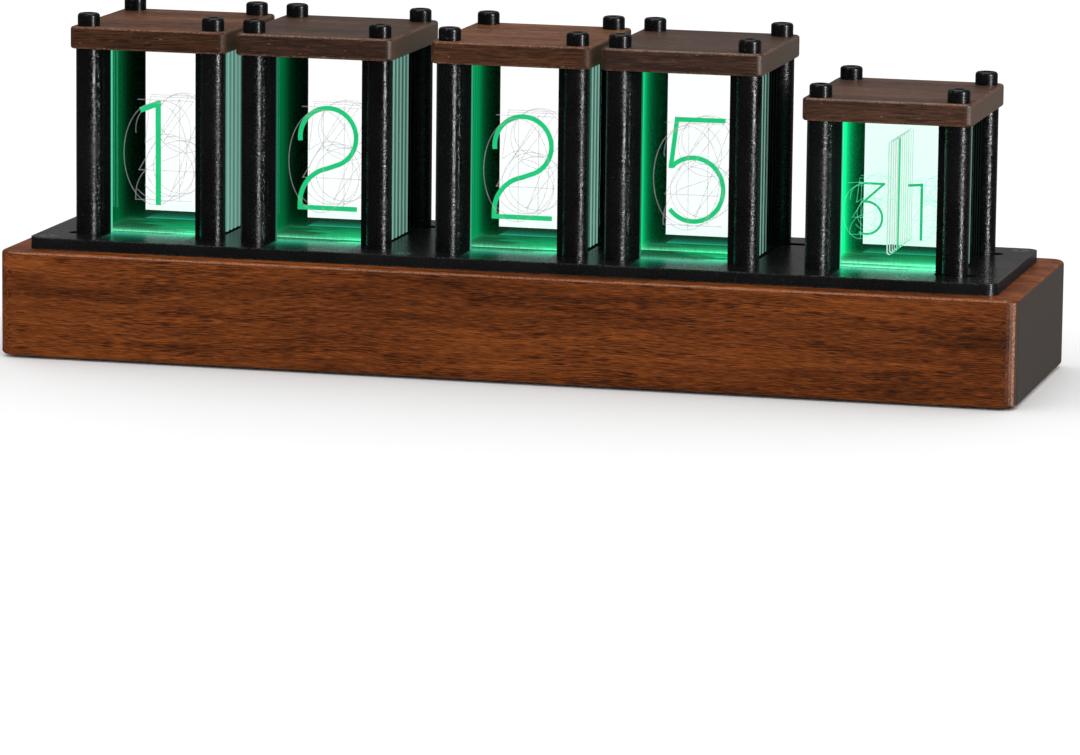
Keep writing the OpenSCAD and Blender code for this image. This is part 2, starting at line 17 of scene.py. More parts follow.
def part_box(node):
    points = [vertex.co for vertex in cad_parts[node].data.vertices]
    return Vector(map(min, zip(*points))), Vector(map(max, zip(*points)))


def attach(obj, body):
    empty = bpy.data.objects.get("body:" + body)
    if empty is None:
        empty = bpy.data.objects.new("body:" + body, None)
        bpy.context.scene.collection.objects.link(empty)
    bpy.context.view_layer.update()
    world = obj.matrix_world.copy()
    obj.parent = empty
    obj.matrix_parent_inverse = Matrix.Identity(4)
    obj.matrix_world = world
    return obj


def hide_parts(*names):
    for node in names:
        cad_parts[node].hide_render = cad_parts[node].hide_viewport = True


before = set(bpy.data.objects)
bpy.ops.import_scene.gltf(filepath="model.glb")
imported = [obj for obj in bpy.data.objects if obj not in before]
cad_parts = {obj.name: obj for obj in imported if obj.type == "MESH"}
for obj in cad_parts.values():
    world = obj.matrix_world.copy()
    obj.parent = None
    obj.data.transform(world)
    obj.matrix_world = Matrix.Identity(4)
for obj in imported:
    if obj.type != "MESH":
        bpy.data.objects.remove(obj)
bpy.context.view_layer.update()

MM = 0.001
CLOCK = "clock"
LOG = logging.getLogger("desk_clock")
PANES = 10
MID_PANE = (PANES - 1) / 2
SHEET_UNIT = 100.0  # millimetres per unit of the panes' sheet coordinates

Colour = tuple[float, float, float]
Triple = tuple[float, float, float]  # place, size or direction along X, Y and Z
Path = list[tuple[float, float]]
Value = Any


class Side(Enum):
    """Half of a date pane that a small figure stands on."""

    LEFT = -1
    RIGHT = 1


class PanePart(Enum):
    """Part of a pane, as the index of its finish."""

    CLEAR = 0
    EDGE = 1
    MARGIN = 2
    RIM = 3
    LIT_RIM = 4


class Effect(Enum):
    """Names of the shader node groups that finishes share."""

    GRAIN = "wood_grain"
    WEAR = "edge_wear"
    LIGHT = "light_falloff"
    MOTTLE = "surface_mottle"


class Wire:
    """Output of a node; arithmetic with it adds Math nodes to its tree."""

    def __init__(self, shader: "Shader", socket: bpy.types.NodeSocket) -> None:
        """Keeps the helper of the tree and the output."""
        self.shader = shader
        self.socket = socket

    def __add__(self, other: Value) -> "Wire":
        """Returns the sum."""
        return self.shader.math("ADD", self, other)

    def __sub__(self, other: Value) -> "Wire":
        """Returns the difference."""
        return self.shader.math("SUBTRACT", self, other)

    def __mul__(self, other: Value) -> "Wire":
        """Returns the product."""
        return self.shader.math("MULTIPLY", self, other)

    def __truediv__(self, other: Value) -> "Wire":
        """Returns the quotient."""
        return self.shader.math("DIVIDE", self, other)

    def __abs__(self) -> "Wire":
        """Returns the value without its sign."""
        return self.shader.math("ABSOLUTE", self)

    def clamp(self) -> "Wire":
        """Holds the result of a Math node between 0 and 1."""
        self.socket.node.use_clamp = True
        return self


class Shader:
    """Adds and wires nodes in one shader tree."""

    def __init__(self, tree: bpy.types.NodeTree) -> None:
        """Keeps the tree of a material, a world or a node group."""
        self.tree = tree

    def feed(self, socket: bpy.types.NodeSocket, value: Value) -> None:
        """Links a socket to an output or sets its own value.

        Args:
            socket: input to feed.
            value: output of a node, number, vector or colour.
        """
        if isinstance(value, Wire):
            self.tree.links.new(value.socket, socket)
        else:
            socket.default_value = (*value, 1.0) if socket.type == "RGBA" else value

    def node(self, kind: str, inputs: dict[str | int, Value], **settings: Any) -> bpy.types.Node:
        """Adds a node.

        Args:
            kind: node type, without the prefix that all share.
            inputs: value or output for each input, by name or index.
            settings: properties of the node.

        Returns:
            The new node.
        """
        made = self.tree.nodes.new(f"ShaderNode{kind}")
        for name, value in settings.items():
            setattr(made, name, value)
        for key, value in inputs.items():
            self.feed(made.inputs[key], value)
        return made

    def out(self, kind: str, inputs: dict[str | int, Value], key: str | int = 0,
            **settings: Any) -> Wire:
        """Adds a node as node() does and returns its output with that name or index."""
        return Wire(self, self.node(kind, inputs, **settings).outputs[key])

    def math(self, operation: str, a: Value, b: Value = 0.0) -> Wire:
        """Returns the output of a Math node."""
        return self.out("Math", {0: a, 1: b}, operation=operation)

    def vector(self, operation: str, a: Value, b: Value = (0.0, 0.0, 0.0)) -> Wire:
        """Returns the output of a Vector Math node."""
        return self.out("VectorMath", {0: a, 1: b}, operation=operation)

    def scaled(self, value: Value, amount: Value) -> Wire:
        """Returns a colour or a place scaled by an amount."""
        return self.out("VectorMath", {0: value, 3: amount}, operation="SCALE")

    def split(self, value: Value) -> list[Wire]:
        """Returns the three parts of a vector."""
        return [Wire(self, part) for part in self.node("SeparateXYZ", {0: value}).outputs]

    def place(self) -> Wire:
        """Returns the object coordinates of the surface."""
        return self.out("TexCoord", {}, "Object")

    def local(self, middle: float = 0.0) -> Wire:
        """Returns the object coordinates in millimetres, with X from a module's middle."""
        return self.stretch(self.place(), (1 / MM, 1 / MM, 1 / MM), (-middle, 0.0, 0.0))

    def stretch(self, value: Value, scale: Triple, move: Triple = (0.0, 0.0, 0.0)) -> Wire:
        """Returns coordinates stretched and then moved."""
        return self.out("Mapping", {"Vector": value, "Location": move, "Scale": scale})

    def noise(self, value: Value, scale: float | Triple, detail: float = 2.0,
              rough: float = 0.5) -> Wire:
        """Makes a noise.

        Args:
            value: coordinates.
            scale: repeats per unit, one number or one for each axis.
            detail: octaves of finer noise.
            rough: strength of the finer noise.

        Returns:
            Noise between 0 and 1.
        """
        if isinstance(scale, tuple):
            value, scale = self.stretch(value, scale), 1.0
        inputs = {"Vector": value, "Scale": scale, "Detail": detail, "Roughness": rough}
        return self.out("TexNoise", inputs)

    def remap(self, value: Value, low: float, high: float, to_low: float = 0.0,
              to_high: float = 1.0) -> Wire:
        """Returns a value moved smoothly from one range to another."""
        return self.out("MapRange", {0: value, 1: low, 2: high, 3: to_low, 4: to_high},
                        interpolation_type="SMOOTHSTEP")

    def ramp(self, value: Value, stops: list[tuple[float, Colour]]) -> Wire:
        """Picks a colour along a ramp.

        Args:
            value: place along the ramp, 0 to 1.
            stops: place and colour of each stop.

        Returns:
            The colour.
        """
        made = self.node("ValToRGB", {0: value})
        band = made.color_ramp.elements
        while len(band) < len(stops):
            band.new(0.5)
        for element, (at, colour) in zip(band, stops):
            element.position = at
            element.color = (*colour, 1.0)
        return Wire(self, made.outputs[0])

    def blend(self, amount: Value, a: Value, b: Value) -> Wire:
        """Returns one colour mixed over another."""
        return self.out("Mix", {0: amount, 6: a, 7: b}, 2, data_type="RGBA")

    def pick(self, amount: Value, a: Value, b: Value) -> Wire:
        """Returns one number mixed over another."""
        return self.out("Mix", {0: amount, 2: a, 3: b}, data_type="FLOAT")

    def mark(self, name: str) -> Wire:
        """Returns a face mark of the mesh."""
        return self.out("Attribute", {}, "Fac", attribute_name=name)

    def bump(self, height: Wire, strength: float, depth: float) -> Wire:
        """Makes a normal from a height.

        Args:
            height: varying height, 0 to 1.
            strength: share of the effect.
            depth: height of 1 in millimetres.

        Returns:
            Normal of the surface.
        """
        return self.out("Bump", {"Strength": strength, "Distance": depth * MM, "Height": height})

    def shared(self, group: Effect, **inputs: Value) -> dict[str, Wire]:
        """Places a shared node group with its inputs and returns its outputs by name."""
        made = self.node("Group", inputs, node_tree=bpy.data.node_groups[group.value])
        return {output.name: Wire(self, output) for output in made.outputs}

    def fade(self, distance: Value, reach: float, along: Value, streaks: float) -> Wire:
        """Fades light with a distance.

        Args:
            distance: how far the light has come, in millimetres.
            reach: distance over which it falls to about a third.
            along: value along which its streaks change.
            streaks: strength of the streaks.

        Returns:
            Share of the light.
        """
        inputs = {"Distance": distance, "Reach": reach, "Along": along, "Streaks": streaks}
        return self.shared(Effect.LIGHT, **inputs)["Light"]

    def worn(self, centre: Triple, half: Triple, width: float) -> Wire:
        """Rubs the edges of a block.

        Args:
            centre: centre of the block, in metres.
            half: half sizes of the block, in metres.
            width: width of the edges, in millimetres.

        Returns:
            Share of wear.
        """
        inputs = {"Vector": self.place(), "Center": centre, "Half": half, "Width": width * MM}
        return self.shared(Effect.WEAR, **inputs)["Wear"]

    def shine(self, skin: Any, colour: Wire, strength: float = 1.0) -> None:
        """Lets a surface send out light of a varying colour."""
        self.feed(skin["Emission Color"], colour)
        self.feed(skin["Emission Strength"], strength)


class SharedEffects:
    """Builds the node groups that several finishes use."""

    FLOAT = "NodeSocketFloat"
    VECTOR = "NodeSocketVector"
    SWAY = 0.007  # how far the grain drifts, in metres

    def start(self, group: Effect, inputs: dict[str, str],
              outputs: list[str]) -> tuple[Shader, Any, Any]:
        """Starts a node group.

        Args:
            group: its name.
            inputs: socket type of each input.
            outputs: names of the value outputs.

        Returns:
            Shader helper, wires of the inputs and sockets of the outputs.
        """
        tree = bpy.data.node_groups.new(group.value, "ShaderNodeTree")
        for name, kind in inputs.items():
            tree.interface.new_socket(name, in_out="INPUT", socket_type=kind)
        for name in outputs:
            tree.interface.new_socket(name, in_out="OUTPUT", socket_type=self.FLOAT)
        shader = Shader(tree)
        opening = tree.nodes.new("NodeGroupInput").outputs
        entry = {socket.name: Wire(shader, socket) for socket in opening}
        return shader, entry, tree.nodes.new("NodeGroupOutput").inputs

    def build(self) -> None:
        """Builds every shared group."""
        self.grain()
        self.wear()
        self.light()
        self.mottle()

    def grain(self) -> None:
        """Tone, fibres and pores of wood whose grain runs along X."""
        outputs = ["Tone", "Fibre", "Pores"]
        shader, entry, leave = self.start(Effect.GRAIN, {"Vector": self.VECTOR}, outputs)
        sway = shader.noise(entry["Vector"], (14.0, 30.0, 30.0))
        drift = shader.out("CombineXYZ", {2: sway * self.SWAY})
        grown = shader.vector("ADD", entry["Vector"], drift)
        zones = shader.noise(grown, (7.0, 90.0, 90.0), 3.0)
        bands = shader.noise(grown, (36.0, 640.0, 640.0), 4.0, 0.6)
        fibre = shader.noise(grown, (220.0, 2600.0, 4200.0), 3.0, 0.6)
        tone = (zones - 0.5) * 0.75 + (bands - 0.5) * 0.55 + (fibre - 0.5) * 1.1
        shader.feed(leave["Tone"], (tone + 0.5).clamp())
        shader.feed(leave["Fibre"], fibre)
        dashes = shader.noise(grown, (150.0, 2600.0, 3700.0))
        patches = shader.noise(grown, (22.0, 200.0, 200.0))
        shader.feed(leave["Pores"], shader.remap(dashes + patches * 0.5, 0.80, 0.87))

    def wear(self) -> None:
        """Rubbed edges of a block, from its centre and half sizes."""
        inputs = dict.fromkeys(("Vector", "Center", "Half"), self.VECTOR) | {"Width": self.FLOAT}
        shader, entry, leave = self.start(Effect.WEAR, inputs, ["Wear"])
        place = entry["Vector"]
        reach = shader.vector("ABSOLUTE", shader.vector("SUBTRACT", place, entry["Center"]))
        near = shader.split(shader.vector("SUBTRACT", reach, entry["Half"]))
        x, y, z = ((part / entry["Width"] + 1.0).clamp() for part in near)
        edge = shader.math("MAXIMUM", shader.math("MAXIMUM", x * y, y * z), z * x)
        rub = shader.remap(shader.noise(place, 1900.0, 3.0, 0.6), 0.40, 0.60)
        patch = shader.remap(shader.noise(place, 120.0), 0.3, 0.6, 0.4)
        shader.feed(leave["Wear"], (edge * (rub * patch)).clamp())

    def light(self) -> None:
        """Light that fades with a distance and runs in streaks."""
        inputs = dict.fromkeys(("Distance", "Reach", "Along", "Streaks"), self.FLOAT)
        shader, entry, leave = self.start(Effect.LIGHT, inputs, ["Light"])
        past = shader.math("MAXIMUM", entry["Distance"], 0.0) / entry["Reach"]
        line = shader.out("TexNoise", {"W": entry["Along"], "Scale": 1.0, "Detail": 3.0},
                          noise_dimensions="1D")
        gain = shader.math("MAXIMUM", (line - 0.5) * entry["Streaks"] + 1.0, 0.0)
        shader.feed(leave["Light"], shader.math("EXPONENT", past * -1.0) * gain)

    def mottle(self) -> None:
        """Fine and broad variation of a surface, with sparse specks."""
        inputs = {"Vector": self.VECTOR, "Scale": self.FLOAT}
        shader, entry, leave = self.start(Effect.MOTTLE, inputs, ["Fine", "Broad", "Specks"])
        place = shader.scaled(entry["Vector"], entry["Scale"])
        shader.feed(leave["Fine"], shader.noise(place, 1.0, 3.0, 0.6))
        shader.feed(leave["Broad"], shader.noise(place, 0.03))
        shader.feed(leave["Specks"], shader.remap(shader.noise(place, 0.45, 1.0), 0.68, 0.76))


@dataclass(frozen=True)
class Finish:
    """Surface finish with a Principled shader; kinds of finish add their own detail.

    Attributes:
        name: name of the material.
        rough: mean roughness.
        specular: specular level.
        metal: metallic share.
    """

    name: str
    rough: float = 0.5
    specular: float = 0.5
    metal: float = 0.0

    def material(self) -> bpy.types.Material:
        """Makes the finish's material on first use.

        Returns:
            The material.
        """
        found = bpy.data.materials.get(self.name)
        if found is not None:
            return found
        made = bpy.data.materials.new(self.name)
        made.use_nodes = True
        made.node_tree.nodes.clear()
        shader = Shader(made.node_tree)
        skin = shader.node("BsdfPrincipled", {
            "Roughness": self.rough, "Specular IOR Level": self.specular, "Metallic": self.metal})
        shader.node("OutputMaterial", {"Surface": Wire(shader, skin.outputs[0])})
        self.dress(shader, skin.inputs)
        return made

    def dress(self, shader: Shader, skin: Any) -> None:
        """Wires the finish's detail into the shader's inputs."""
        raise NotImplementedError


@dataclass(frozen=True)
class Wood(Finish):
    """Oiled walnut with grain along X, worn spots and end grain of its own colour; the end colour
    holds painted sheen, the top is painted lighter and the rounded edges carry a painted highlight.

    Attributes:
        deep: colour of the darkest grain and of the pores.
        brown: colour of dark grain.
        warm: colour of middling grain.
        light: colour of light grain.
        rubbed_and_highlight: colour of worn spots and of the painted highlight on rounded edges.
        end: colour of the end grain, greyed and lightened as painted sheen of the end faces.
        seed: place in the grain, in metres.
        centre: centre of the block, in metres.
        half: half sizes of the block, in metres.
        wear: share of worn edges, made pale partly as painted highlight.
        shade: brightness of the sides.
        top: painted light on the top: how much brighter the top is made than the sides.
        flecks: share of worn flecks.
        edge_highlight: share of the painted highlight along the rounded right corners and top front
            edges.
    """

    deep: Colour = (0.019, 0.0055, 0.0022)
    brown: Colour = (0.098, 0.0232, 0.0040)
    warm: Colour = (0.172, 0.0425, 0.0075)
    light: Colour = (0.32, 0.088, 0.0165)
    rubbed_and_highlight: Colour = (0.48, 0.26, 0.175)
    end: Colour = (0.066, 0.051, 0.040)
    seed: Triple = (0.0, 0.0, 0.0)
    centre: Triple = (0.0, 0.0, 0.0)
    half: Triple = (0.1, 0.1, 0.1)
    wear: float = 0.5
    shade: float = 1.0
    top: float = 1.0
    flecks: float = 0.0
    edge_highlight: float = 0.25

    # Worn edges are made pale partly as a painted highlight.
    EDGE: ClassVar[float] = 0.8  # width of the rubbed edges, in millimetres
    SPREAD: ClassVar[float] = 0.07  # how far roughness varies

    def dress(self, shader: Shader, skin: Any) -> None:
        """Wires grain, pores, end grain with painted sheen, painted light on the top, worn spots
        and painted highlights.

        Args:
            shader: helper of the material's tree.
            skin: inputs of the Principled shader.
        """
        place = shader.place()
        grown = shader.stretch(place, (1.0, 1.0, 1.0), self.seed)
        grain = shader.shared(Effect.GRAIN, Vector=grown)
        stops = [(0.2, self.deep), (0.42, self.brown), (0.58, self.warm), (0.85, self.light)]
        colour = shader.blend(grain["Pores"] * 0.75, shader.ramp(grain["Tone"], stops), self.deep)
        side, _, up = shader.split(shader.out("NewGeometry", {}, "Normal"))
        # painted light: faces that look up are made brighter by the top factor
        gain = shader.remap(up, 0.5, 0.95, self.shade, self.shade * self.top)
        colour = shader.vector("MULTIPLY", colour, gain)
        # end faces take the end colour, which holds painted sheen
        dim = tuple(part * 0.8 for part in self.end)
        end_grain_and_sheen = shader.ramp(shader.noise(place, 900.0, 3.0), [(0.3, dim), (0.7, self.end)])
        colour = shader.blend(shader.remap(abs(side), 0.78, 0.92), colour, end_grain_and_sheen)
        # pale colour where wood is worn and where rounded edges carry a painted highlight
        bare_and_highlight = self.bare_and_highlight(shader, place, side, up)
        shader.feed(skin["Base Color"], shader.blend(bare_and_highlight, colour, self.rubbed_and_highlight))
        low, high = self.rough - self.SPREAD, self.rough + self.SPREAD
        shader.feed(skin["Roughness"], shader.remap(grain["Fibre"], 0.2, 0.8, high, low))
        height = grain["Fibre"] * 0.3 + shader.noise(place, 2600.0) * 0.5 - grain["Pores"]
        shader.feed(skin["Normal"], shader.bump(height, 0.16, 0.10))

    def bare_and_highlight(self, shader: Shader, place: Wire, side: Wire, up: Wire) -> Wire:
        """Finds pale places: worn flecks, worn edges and painted highlight on rounded edges.

        Args:
            shader: helper of the material's tree.
            place: object coordinates.
            side: X of the surface's normal.
            up: Z of the surface's normal.

        Returns:
            Share of worn wood and painted highlight.
        """
        across = abs(side)
        spots = shader.noise(place, (420.0, 1500.0, 1500.0))
        flecks = shader.remap(spots, 0.66, 0.76) * self.flecks
        # painted highlight along the rounded right corners
        corner = shader.remap(side, 0.58, 0.72) * shader.remap(across, 0.90, 0.80)
        corner = corner * shader.remap(up, 0.3, 0.1)
        # painted highlight along the rounded top front edges
        brow_highlight = shader.remap(up, 0.30, 0.55) * shader.remap(up, 0.85, 0.65)
        brow_highlight = brow_highlight * shader.remap(across, 0.4, 0.2)
        glint = shader.remap(shader.noise(place, 1900.0), 0.36, 0.60, 0.3, 1.0)
        edge_highlight = shader.math("MAXIMUM", corner, brow_highlight * 0.6) * glint
        # worn edges, made pale partly as a painted highlight
        worn = shader.worn(self.centre, self.half, self.EDGE)
        return ((flecks + edge_highlight * self.edge_highlight).clamp() + worn * self.wear).clamp()


@dataclass(frozen=True)
class Coat(Finish):
    """Painted, moulded or plated surface with mottled colour and a fine texture.

    Attributes:
        dark: colour of the low spots.
        bright: colour of the high spots.
        speck: colour of sparse specks.
        scale: texture size, in repeats per metre.
        depth: depth of the texture in millimetres.
        strength: share of the texture that shows.
        spread: how far roughness varies.
    """

    dark: Colour = (0.004, 0.004, 0.0045)
    bright: Colour = (0.012, 0.012, 0.013)
    speck: Colour = (0.03, 0.03, 0.03)
    scale: float = 2200.0
    depth: float = 0.05
    strength: float = 0.3
    spread: float = 0.08

    def dress(self, shader: Shader, skin: Any) -> None:
        """Wires mottle, specks and texture.

        Args:
            shader: helper of the material's tree.
            skin: inputs of the Principled shader.
        """
        mottle = shader.shared(Effect.MOTTLE, Vector=shader.place(), Scale=self.scale)
        mix = mottle["Fine"] * 0.6 + mottle["Broad"] * 0.4
        colour = shader.ramp(mix, [(0.3, self.dark), (0.7, self.bright)])
        shader.feed(skin["Base Color"], shader.blend(mottle["Specks"], colour, self.speck))
        low, high = self.rough - self.spread, self.rough + self.spread
        shader.feed(skin["Roughness"], shader.remap(mix, 0.3, 0.7, low, high))
        shader.feed(skin["Normal"], shader.bump(mottle["Fine"], self.strength, self.depth))


@dataclass(frozen=True)
class DeckCoat(Coat):
    """Painted plate with edges worn lighter, partly as painted highlight, and green light spilt
    before and behind its modules.

    Attributes:
        centre: centre of the plate, in metres.
        half: half sizes of the plate, in metres.
        rubbed_and_highlight: colour of the worn edges, made pale partly as painted highlight.
        windows: centre and half width of each module's window, in millimetres.
        stack: distance from the middle to the faces of the stacks, in millimetres.
        face: height of the plate's top, in millimetres.
        spill: colour of the spilt light.
    """

    centre: Triple = (0.0, 0.0, 0.0)
    half: Triple = (0.1, 0.1, 0.1)
    rubbed_and_highlight: Colour = (0.10, 0.10, 0.105)
    windows: tuple[tuple[float, float], ...] = ()
    stack: float = 20.6
    face: float = 37.5
    spill: Colour = (0.012, 0.34, 0.22)

    EDGE: ClassVar[float] = 0.5  # width of the rubbed edges, in millimetres
    REACH: ClassVar[float] = 4.5  # how far the spilt light goes, in millimetres

    def dress(self, shader: Shader, skin: Any) -> None:
        """Wires the coat, its rubbed edges and the spilt light.

        Args:
            shader: helper of the material's tree.
            skin: inputs of the Principled shader.
        """
        super().dress(shader, skin)
        coat = Wire(shader, skin["Base Color"].links[0].from_socket)
        # edges worn lighter, partly as painted highlight
        worn = shader.worn(self.centre, self.half, self.EDGE)
        shader.feed(skin["Base Color"], shader.blend(worn * 0.6, coat, self.rubbed_and_highlight))
        across, depth, height = shader.split(shader.local())
        past = abs(depth) - self.stack
        fade = shader.fade(past, self.REACH, depth * 0.7, 1.4) * shader.remap(past, -1.0, 0.0)
        fade = fade * shader.remap(height, self.face - 0.3, self.face - 0.1)
        spread: Value = 0.0
        for middle, wide in self.windows:
            spread = shader.remap(abs(across - middle), wide + 0.5, wide - 1.0) + spread
        shader.shine(skin, shader.scaled(self.spill, fade * spread))


@dataclass(frozen=True)
class PostCoat(Coat):
    """Crinkle coat of the posts, with the panes' light caught by the front left flange.

    Attributes:
        middle: X of the module's centre, in millimetres.
        window: half width of the module's window, in millimetres.
        line: light on the flange's edge.
        haze: light on the flange's face.
        glow: colour of the light.
    """

    middle: float = 0.0
    window: float = 13.85
    line: float = 0.5
    haze: float = 0.03
    glow: Colour = (0.12, 0.85, 0.5)

    FLANGE: ClassVar[float] = -19.0  # Y before which the light is caught, in millimetres
    REACH: ClassVar[float] = 2.4  # how far the haze goes, in millimetres

    def dress(self, shader: Shader, skin: Any) -> None:
        """Wires the crinkle and the caught light.

        Args:
            shader: helper of the material's tree.
            skin: inputs of the Principled shader.
        """
        super().dress(shader, skin)
        across, depth, height = shader.split(shader.local(self.middle))
        past = abs(across) - self.window
        edge = shader.remap(past, 0.10, 0.04) * self.line
        soft = shader.fade(past, self.REACH, height, 0.2) * self.haze
        left = shader.remap(depth, self.FLANGE, self.FLANGE - 0.3) * shader.remap(across, 0.1, -0.1)
        shader.shine(skin, shader.scaled(self.glow, (edge + soft) * left))


@dataclass(frozen=True)
class LitComb(Coat):
    """Black comb between the panes, lit by what leaks out of their feet.

    Attributes:
        middle: X of the module's centre, in millimetres.
        half: half width of the panes, in millimetres.
        top: height of the comb's top, in millimetres.
        front: distance from the middle to the front pane's face, in millimetres.
        light: brightness at the front.
        glow: colour of the light.
    """

    middle: float = 0.0
    half: float = 20.0
    top: float = 37.5
    front: float = 19.5
    light: float = 0.6
    glow: Colour = (0.006, 0.82, 0.32)

    REACH: ClassVar[float] = 16.0  # how far back the light goes, in millimetres

    def dress(self, shader: Shader, skin: Any) -> None:
        """Wires the moulded surface and the light on its top.

        Args:
            shader: helper of the material's tree.
            skin: inputs of the Principled shader.
        """
        super().dress(shader, skin)
        local = shader.local(self.middle)
        across, depth, height = shader.split(local)
        fade = shader.fade(depth + self.front, self.REACH, depth * 0.9, 1.7)
        drift = shader.noise(local, (0.10, 0.16, 0.1), 3.0)
        patch = (across + depth * 0.8) * 0.02 + drift
        up = shader.remap(height, self.top - 0.3, self.top - 0.05)
        inside = shader.remap(abs(across), self.half, self.half - 1.0)
        lit = fade * shader.remap(patch, 0.3, 0.72, 0.06, 1.5) * up * inside
        shader.shine(skin, shader.scaled(self.glow, lit * self.light))


@dataclass(frozen=True)
class LightChip(Coat):
    """Light chip that is on.

    Attributes:
        glow: colour of its light.
        power: strength of its light.
    """

    glow: Colour = (0.05, 0.9, 0.4)
    power: float = 1.5

    def dress(self, shader: Shader, skin: Any) -> None:
        """Wires the chip's body and its light.

        Args:
            shader: helper of the material's tree.
            skin: inputs of the Principled shader.
        """
        super().dress(shader, skin)
        spot = shader.remap(shader.noise(shader.place(), 900.0, 1.0), 0.3, 0.7, 0.6, 1.0)
        shader.shine(skin, shader.scaled(self.glow, spot), self.power)


@dataclass(frozen=True)
class Glass(Finish):
    """Clear sheet that bends light and barely mirrors.

    Attributes:
        bend: refractive index.
        mirror: share of the surface reflection that is left.
    """

    rough: float = 0.0
    specular: float = 0.0
    bend: float = 1.49
    mirror: float = 0.02

    def dress(self, shader: Shader, skin: Any) -> None:
        """Makes the surface clear.

        Args:
            shader: helper of the material's tree.
            skin: inputs of the Principled shader.
        """
        shader.feed(skin["Transmission Weight"], 1.0)
        shader.feed(skin["IOR"], self.bend)
        shader.feed(skin["Specular Tint"], (self.mirror, self.mirror, self.mirror))


@dataclass(frozen=True)
class ClearPane(Glass):
    """Clear faces of an edge-lit pane, with light that gathers at its foot and round a lit figure.

    Attributes:
        half: half width of the pane, in millimetres.
        glow: colour of the light.
        line: colour of the bright line along the foot.
        tint: colour that the sheet takes where it is lit.
        clear: colour of the sheet.
    """

    half: float = 20.0
    glow: Colour = (0.006, 0.80, 0.26)
    line: Colour = (0.20, 0.95, 0.52)
    tint: Colour = (0.86, 1.0, 0.95)
    clear: Colour = (0.998, 1.0, 0.999)

    # How far light goes from the side, from the foot and in the line, in millimetres.
    SIDE_REACH: ClassVar[float] = 1.2
    FOOT_REACH: ClassVar[float] = 3.2
    LINE_REACH: ClassVar[float] = 0.5
    # Height of a lit figure's middle and half sizes of the light round it, in millimetres.
    HALO_HEIGHT: ClassVar[float] = 24.0
    HALO_HALF: ClassVar[tuple[float, float]] = (11.0, 15.0)

    def dress(self, shader: Shader, skin: Any) -> None:
        """Wires the light inside a clear sheet.

        Args:
            shader: helper of the material's tree.
            skin: inputs of the Principled shader.
        """
        super().dress(shader, skin)
        sheet = shader.out("UVMap", {}, uv_map="sheet")
        across, rise, _ = shader.split(shader.stretch(sheet, (SHEET_UNIT, SHEET_UNIT, 1.0)))
        side = shader.fade(across + self.half, self.SIDE_REACH, across * 2.3, 1.1)
        side = side * shader.mark("glow")
        foot = shader.fade(rise, self.FOOT_REACH, across * 0.25, 1.4) * shader.mark("foot_glow")
        wide = across / self.HALO_HALF[0]
        tall = (rise - self.HALO_HEIGHT) / self.HALO_HALF[1]
        halo = shader.math("EXPONENT", (wide * wide + tall * tall) * -1.0)
        halo = halo * shader.mark("figure_glow")
        # the sheet takes the green tint where light gathers at its foot, round a lit figure, and by
        # its module's share of painted green glow
        shade = ((foot * 0.9 + halo * 0.3).clamp() + shader.mark("glow_tint")).clamp()
        shader.feed(skin["Base Color"], shader.blend(shade, self.clear, self.tint))
        strip = shader.fade(rise, self.LINE_REACH, across, 1.2) * shader.mark("edge_light")
        veil = shader.scaled(self.glow, side * 0.2 + foot * 0.008)
        shader.shine(skin, shader.vector("ADD", veil, shader.scaled(self.line, strip)))


@dataclass(frozen=True)
class PaneMargin(Glass):
    """Outermost strip of a pane's faces: glass tinted deep green as painted glow, which carries the
    edge light.

    Attributes:
        glow_tint: painted green of the glass where it carries the edge light.
        outer: colour of the light on the side that shines outwards.
        inner: colour of the light inside.
    """

    glow_tint: Colour = (0.008, 0.085, 0.05)
    outer: Colour = (0.115, 0.32, 0.25)
    inner: Colour = (0.006, 0.80, 0.23)

    def dress(self, shader: Shader, skin: Any) -> None:
        """Wires the glass and the light that runs up along it.

        Args:
            shader: helper of the material's tree.
            skin: inputs of the Principled shader.
        """
        super().dress(shader, skin)
        streaks = shader.noise(shader.place(), (900.0, 900.0, 10.0))
        shade = shader.remap(streaks, 0.25, 0.75, 0.7, 1.15)
        outside = shader.scaled(self.outer, shade * shader.mark("edge_light"))
        inside = shader.scaled(self.inner, shade * (shader.mark("glow") * 0.2))
        shader.shine(skin, shader.vector("ADD", outside, inside))
        # painted green glow: the margin's glass is tinted green where it carries the edge light
        shader.feed(skin["Base Color"], shader.scaled(self.glow_tint, shade * shader.mark("glow_tint")))


@dataclass(frozen=True)
class PaneEdge(Finish):
    """Sawn edges of the panes, with painted glow: pale mint from outside, bright green seen through
    the sheet.

    Attributes:
        outer: colour of the painted glow seen from outside.
        inner: colour of the light from inside.
    """

    outer: Colour = (0.28, 0.50, 0.43)
    inner: Colour = (0.012, 0.95, 0.27)

    SPREAD: ClassVar[float] = 0.1  # how far roughness varies

    def dress(self, shader: Shader, skin: Any) -> None:
        """Wires saw marks and the two sides' light.

        Args:
            shader: helper of the material's tree.
            skin: inputs of the Principled shader.
        """
        place = shader.place()
        marks = shader.noise(place, (300.0, 2600.0, 60.0))
        runs = shader.remap(shader.noise(place, (300.0, 2400.0, 5.0), 3.0), 0.3, 0.7, 0.55, 1.25)
        outside = shader.scaled(self.outer, shader.mark("edge_light"))
        inside = shader.scaled(self.inner, shader.mark("glow") * runs)
        behind = shader.out("NewGeometry", {}, "Backfacing")
        shader.shine(skin, shader.blend(behind, outside, inside))
        shader.feed(skin["Base Color"], shader.scaled(self.outer, marks * 0.05))
        low, high = self.rough - self.SPREAD, self.rough + self.SPREAD
        shader.feed(skin["Roughness"], shader.remap(marks, 0.2, 0.8, low, high))
        shader.feed(skin["Normal"], shader.bump(marks, 0.2, 0.05))


